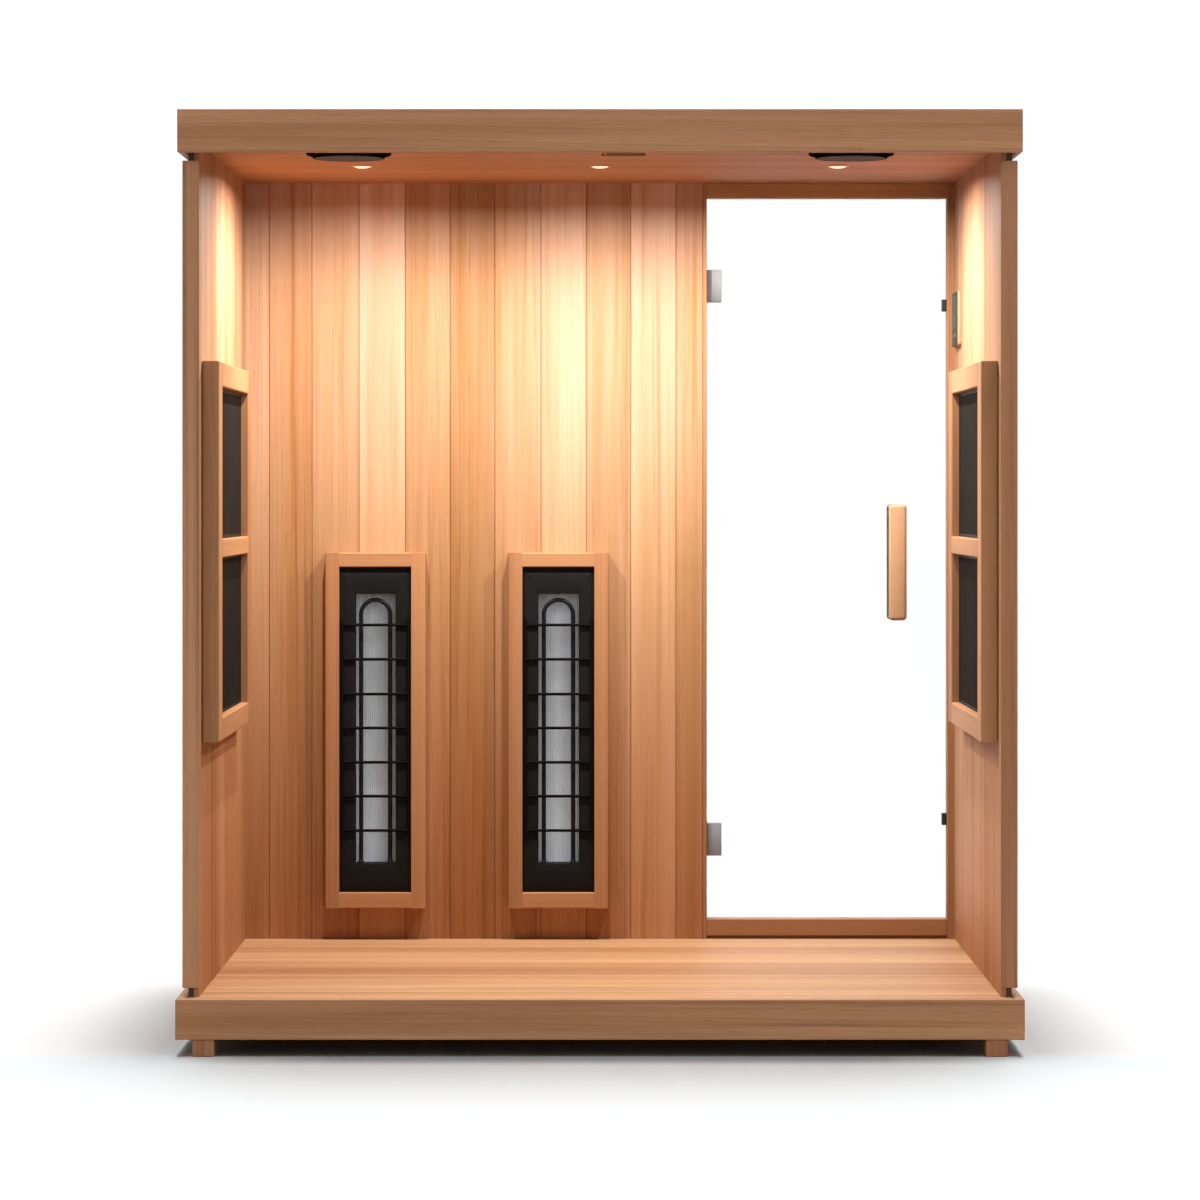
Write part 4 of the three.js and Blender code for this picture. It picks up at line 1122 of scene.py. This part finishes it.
def build_door():
    p = Piece("door_glass_pane", "door", "door_glass", ["glass"], ["door_glass"])
    pane = block((252.5, 809.5), (579, 587), (167, 1847.8), 0.8, 1)
    cuts = [block((240, 264), (570, 596), (z - 20, z + 20), 0) for _, z in HINGES]
    cuts += [spin([(4.5, -10), (4.5, 10)], 1, (696.25, 583, z), 24) for z in (930, 1066)]
    p.solid(carve(pane, cuts), 0)
    p.build()

    for name, z in HINGES:
        full, mid = (z - 38, z + 38), (z - 12.5, z + 12.5)
        p = Piece(f"{name}_hinge_clamp_plates", "door", "hinge_steel", ["steel", "screw"], [f"{name}_hinge_clamp"])
        p.solid(plate(1, (250.6, 285), full, (571, 578.7), 2.0, 1.6, 3, 2), 0)
        p.solid(block((253, 263.5), (578.0, 588.0), (z - 19.5, z + 19.5), 0.6, 1), 0)
        p.solid(plate(1, (256.5, 285), full, (587.3, 592.3), 2.0, 1.2, 3, 2), 0)
        p.solid(block((251.0, 262), (588.5, 598.0), mid, 1.0, 2), 0)
        p.solid(spin([(3.3, mid[0]), (5.1, mid[0]), (5.5, mid[0] + 0.4), (5.5, mid[1] - 0.4), (5.1, mid[1]), (3.3, mid[1])],
                     2, (250.5, 598.5, 0), 32, True), 0, True)
        for dz in (-25, 25):
            p.solid(screw(1, (274, 592.3, z + dz), 4.4, 1), 1, True)
        p.build()

        p = Piece(f"{name}_hinge_leaf", "cabin", "hinge_steel", ["steel", "screw"], [f"{name}_hinge_bracket"])
        p.solid(plate(1, (216, 245.5), full, (590.3, 594.3), 2.0, 0.9, 3, 2), 0)
        for a, b in ((full[0], mid[0] - 0.3), (mid[1] + 0.3, full[1])):
            p.solid(block((241, 250.2), (593.6, 598.0), (a + 0.2, b - 0.2), 0.8, 2), 0)
            p.solid(spin([(3.05, a), (5.1, a), (5.5, a + 0.4), (5.5, b - 0.4), (5.1, b), (3.05, b)], 2, (250.5, 598.5, 0), 32, True), 0, True)
        p.solid(spin([(0, full[0] + 0.6), (2.6, full[0] + 0.6), (3.0, full[0] + 1.2), (3.0, full[1] - 1.2), (2.6, full[1] - 0.6), (0, full[1] - 0.6)],
                     2, (250.5, 598.5, 0), 24), 1, True)
        for dz in (-27, 0, 27):
            p.solid(screw(1, (228, 594.3, z + dz), 4.2, 1), 1, True)
        p.build()

    for name, y, post in (("inner", (534, 556), (555, 578.7)), ("outer", (610, 632), (587.3, 611))):
        p = Piece(f"door_handle_{name}_bar", "door", "handle_wood", ["handle"], [f"door_handle_{name}"])
        p.wood(block((675.5, 717), y, (862.6, 1133.8), 8.5, 4), 2, 1, 0.25 if name == "inner" else 0.0, 0.1, "quarter", smooth=True)
        for z in (930, 1066):
            p.wood(spin([(0, post[0]), (8.6, post[0]), (9.0, post[0] + 0.4), (9.0, post[1] - 0.4), (8.6, post[1]), (0, post[1])],
                        1, (696.25, 0, z), 32), 1, 0, 0.0, 0.2, "quarter", smooth=True)
            if name == "inner":
                p.wood(spin([(0, 578.5), (4.0, 578.5), (4.0, 602), (0, 602)], 1, (696.25, 0, z), 20), 1, 0, 0.0, 0.2, "quarter", smooth=True)
        ob = p.build()
        if name == "outer":
            spare(ob)

    for name, z0, z1 in (("lower", 382.5, 410.5), ("upper", 1586, 1614)):
        p = Piece(f"{name}_catch_body", "cabin", "catch_black", ["catch", "screw"], [f"{name}_door_catch"])
        p.solid(block((800.8, 811.7), (562, 577.6), (z0, z1), 1.4, 2), 0)
        p.solid(plate(1, (802.6, 810.2), (z0 + 3, z1 - 3), (577.4, 578.6), 0.6, 0.2, 2, 1), 1)
        p.build()


# ================================================================= control panel
def build_control():
    p = Piece("control_panel_body", "cabin", "control_face", ["panel", "screen", "inside"], ["control_panel"])
    a, b = (363.0, 490.0), (1498.0, 1625.0)
    x_wall, x_face = 828.6, 818.9
    x_back = x_face + 1.6
    p.wood(plate(0, a, b, (x_back + 0.05, x_wall), 9.0, 0.8, 5, 2), 2, 0, 0.9, 0.0, "quarter", mat=2)
    body = plate(0, (a[0] + 1.0, a[1] - 1.0), (b[0] + 1.0, b[1] - 1.0), (x_face, x_back), 8.0, 0.6, 5, 2)
    keys = [(426.5 - d, 1522.0) for d in (-36, 0, 36)]
    wells = [spin([(8.4, -10), (8.4, 5.0)], 0, (x_face, y, z), 28) for y, z in keys]
    p.solid(carve(body, wells), 0, True)
    p.solid(plate(0, (373, 480), (1541, 1615), (x_face - 0.4, x_face + 0.5), 5.0, 0.25, 4, 1), 1)
    for y, z in keys:
        p.solid(spin([(8.8, -0.0), (9.2, -0.35), (10.0, -0.35), (10.4, 0.0), (10.4, 0.4), (8.8, 0.4)], 0, (x_face, y, z), 36, True), 0, True)
    p.build()
    # the panel is turned to face the cabin, so its first key is the one nearest the door
    for name, (y, z) in zip(("light", "power", "heat"), keys):
        node = f"{name}_button"
        lo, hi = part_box(node)
        yc = (lo.y + hi.y) / 2 * 1000 - Y_SHIFT
        zc = (lo.z + hi.z) / 2 * 1000
        x0, x1 = lo.x * 1000, hi.x * 1000
        p = Piece(f"{name}_button_cap", f"{name}_key", "button_grey", ["button"], [node])
        p.solid(spin([(0, x0 + 0.35), (3.5, x0 + 0.25), (6.2, x0), (7.4, x0 + 0.2), (8.0, x0 + 0.9), (8.0, x1), (0, x1)], 0, (0, yc, zc), 36), 0, True)
        p.build()


setup_lamps(light_floor(setup_stage()))
setup_materials()
build_base()
build_walls()
build_roof()
build_front_heaters()
build_side_heaters()
build_door()
build_control()
setup_fill()

bpy.context.view_layer.update()
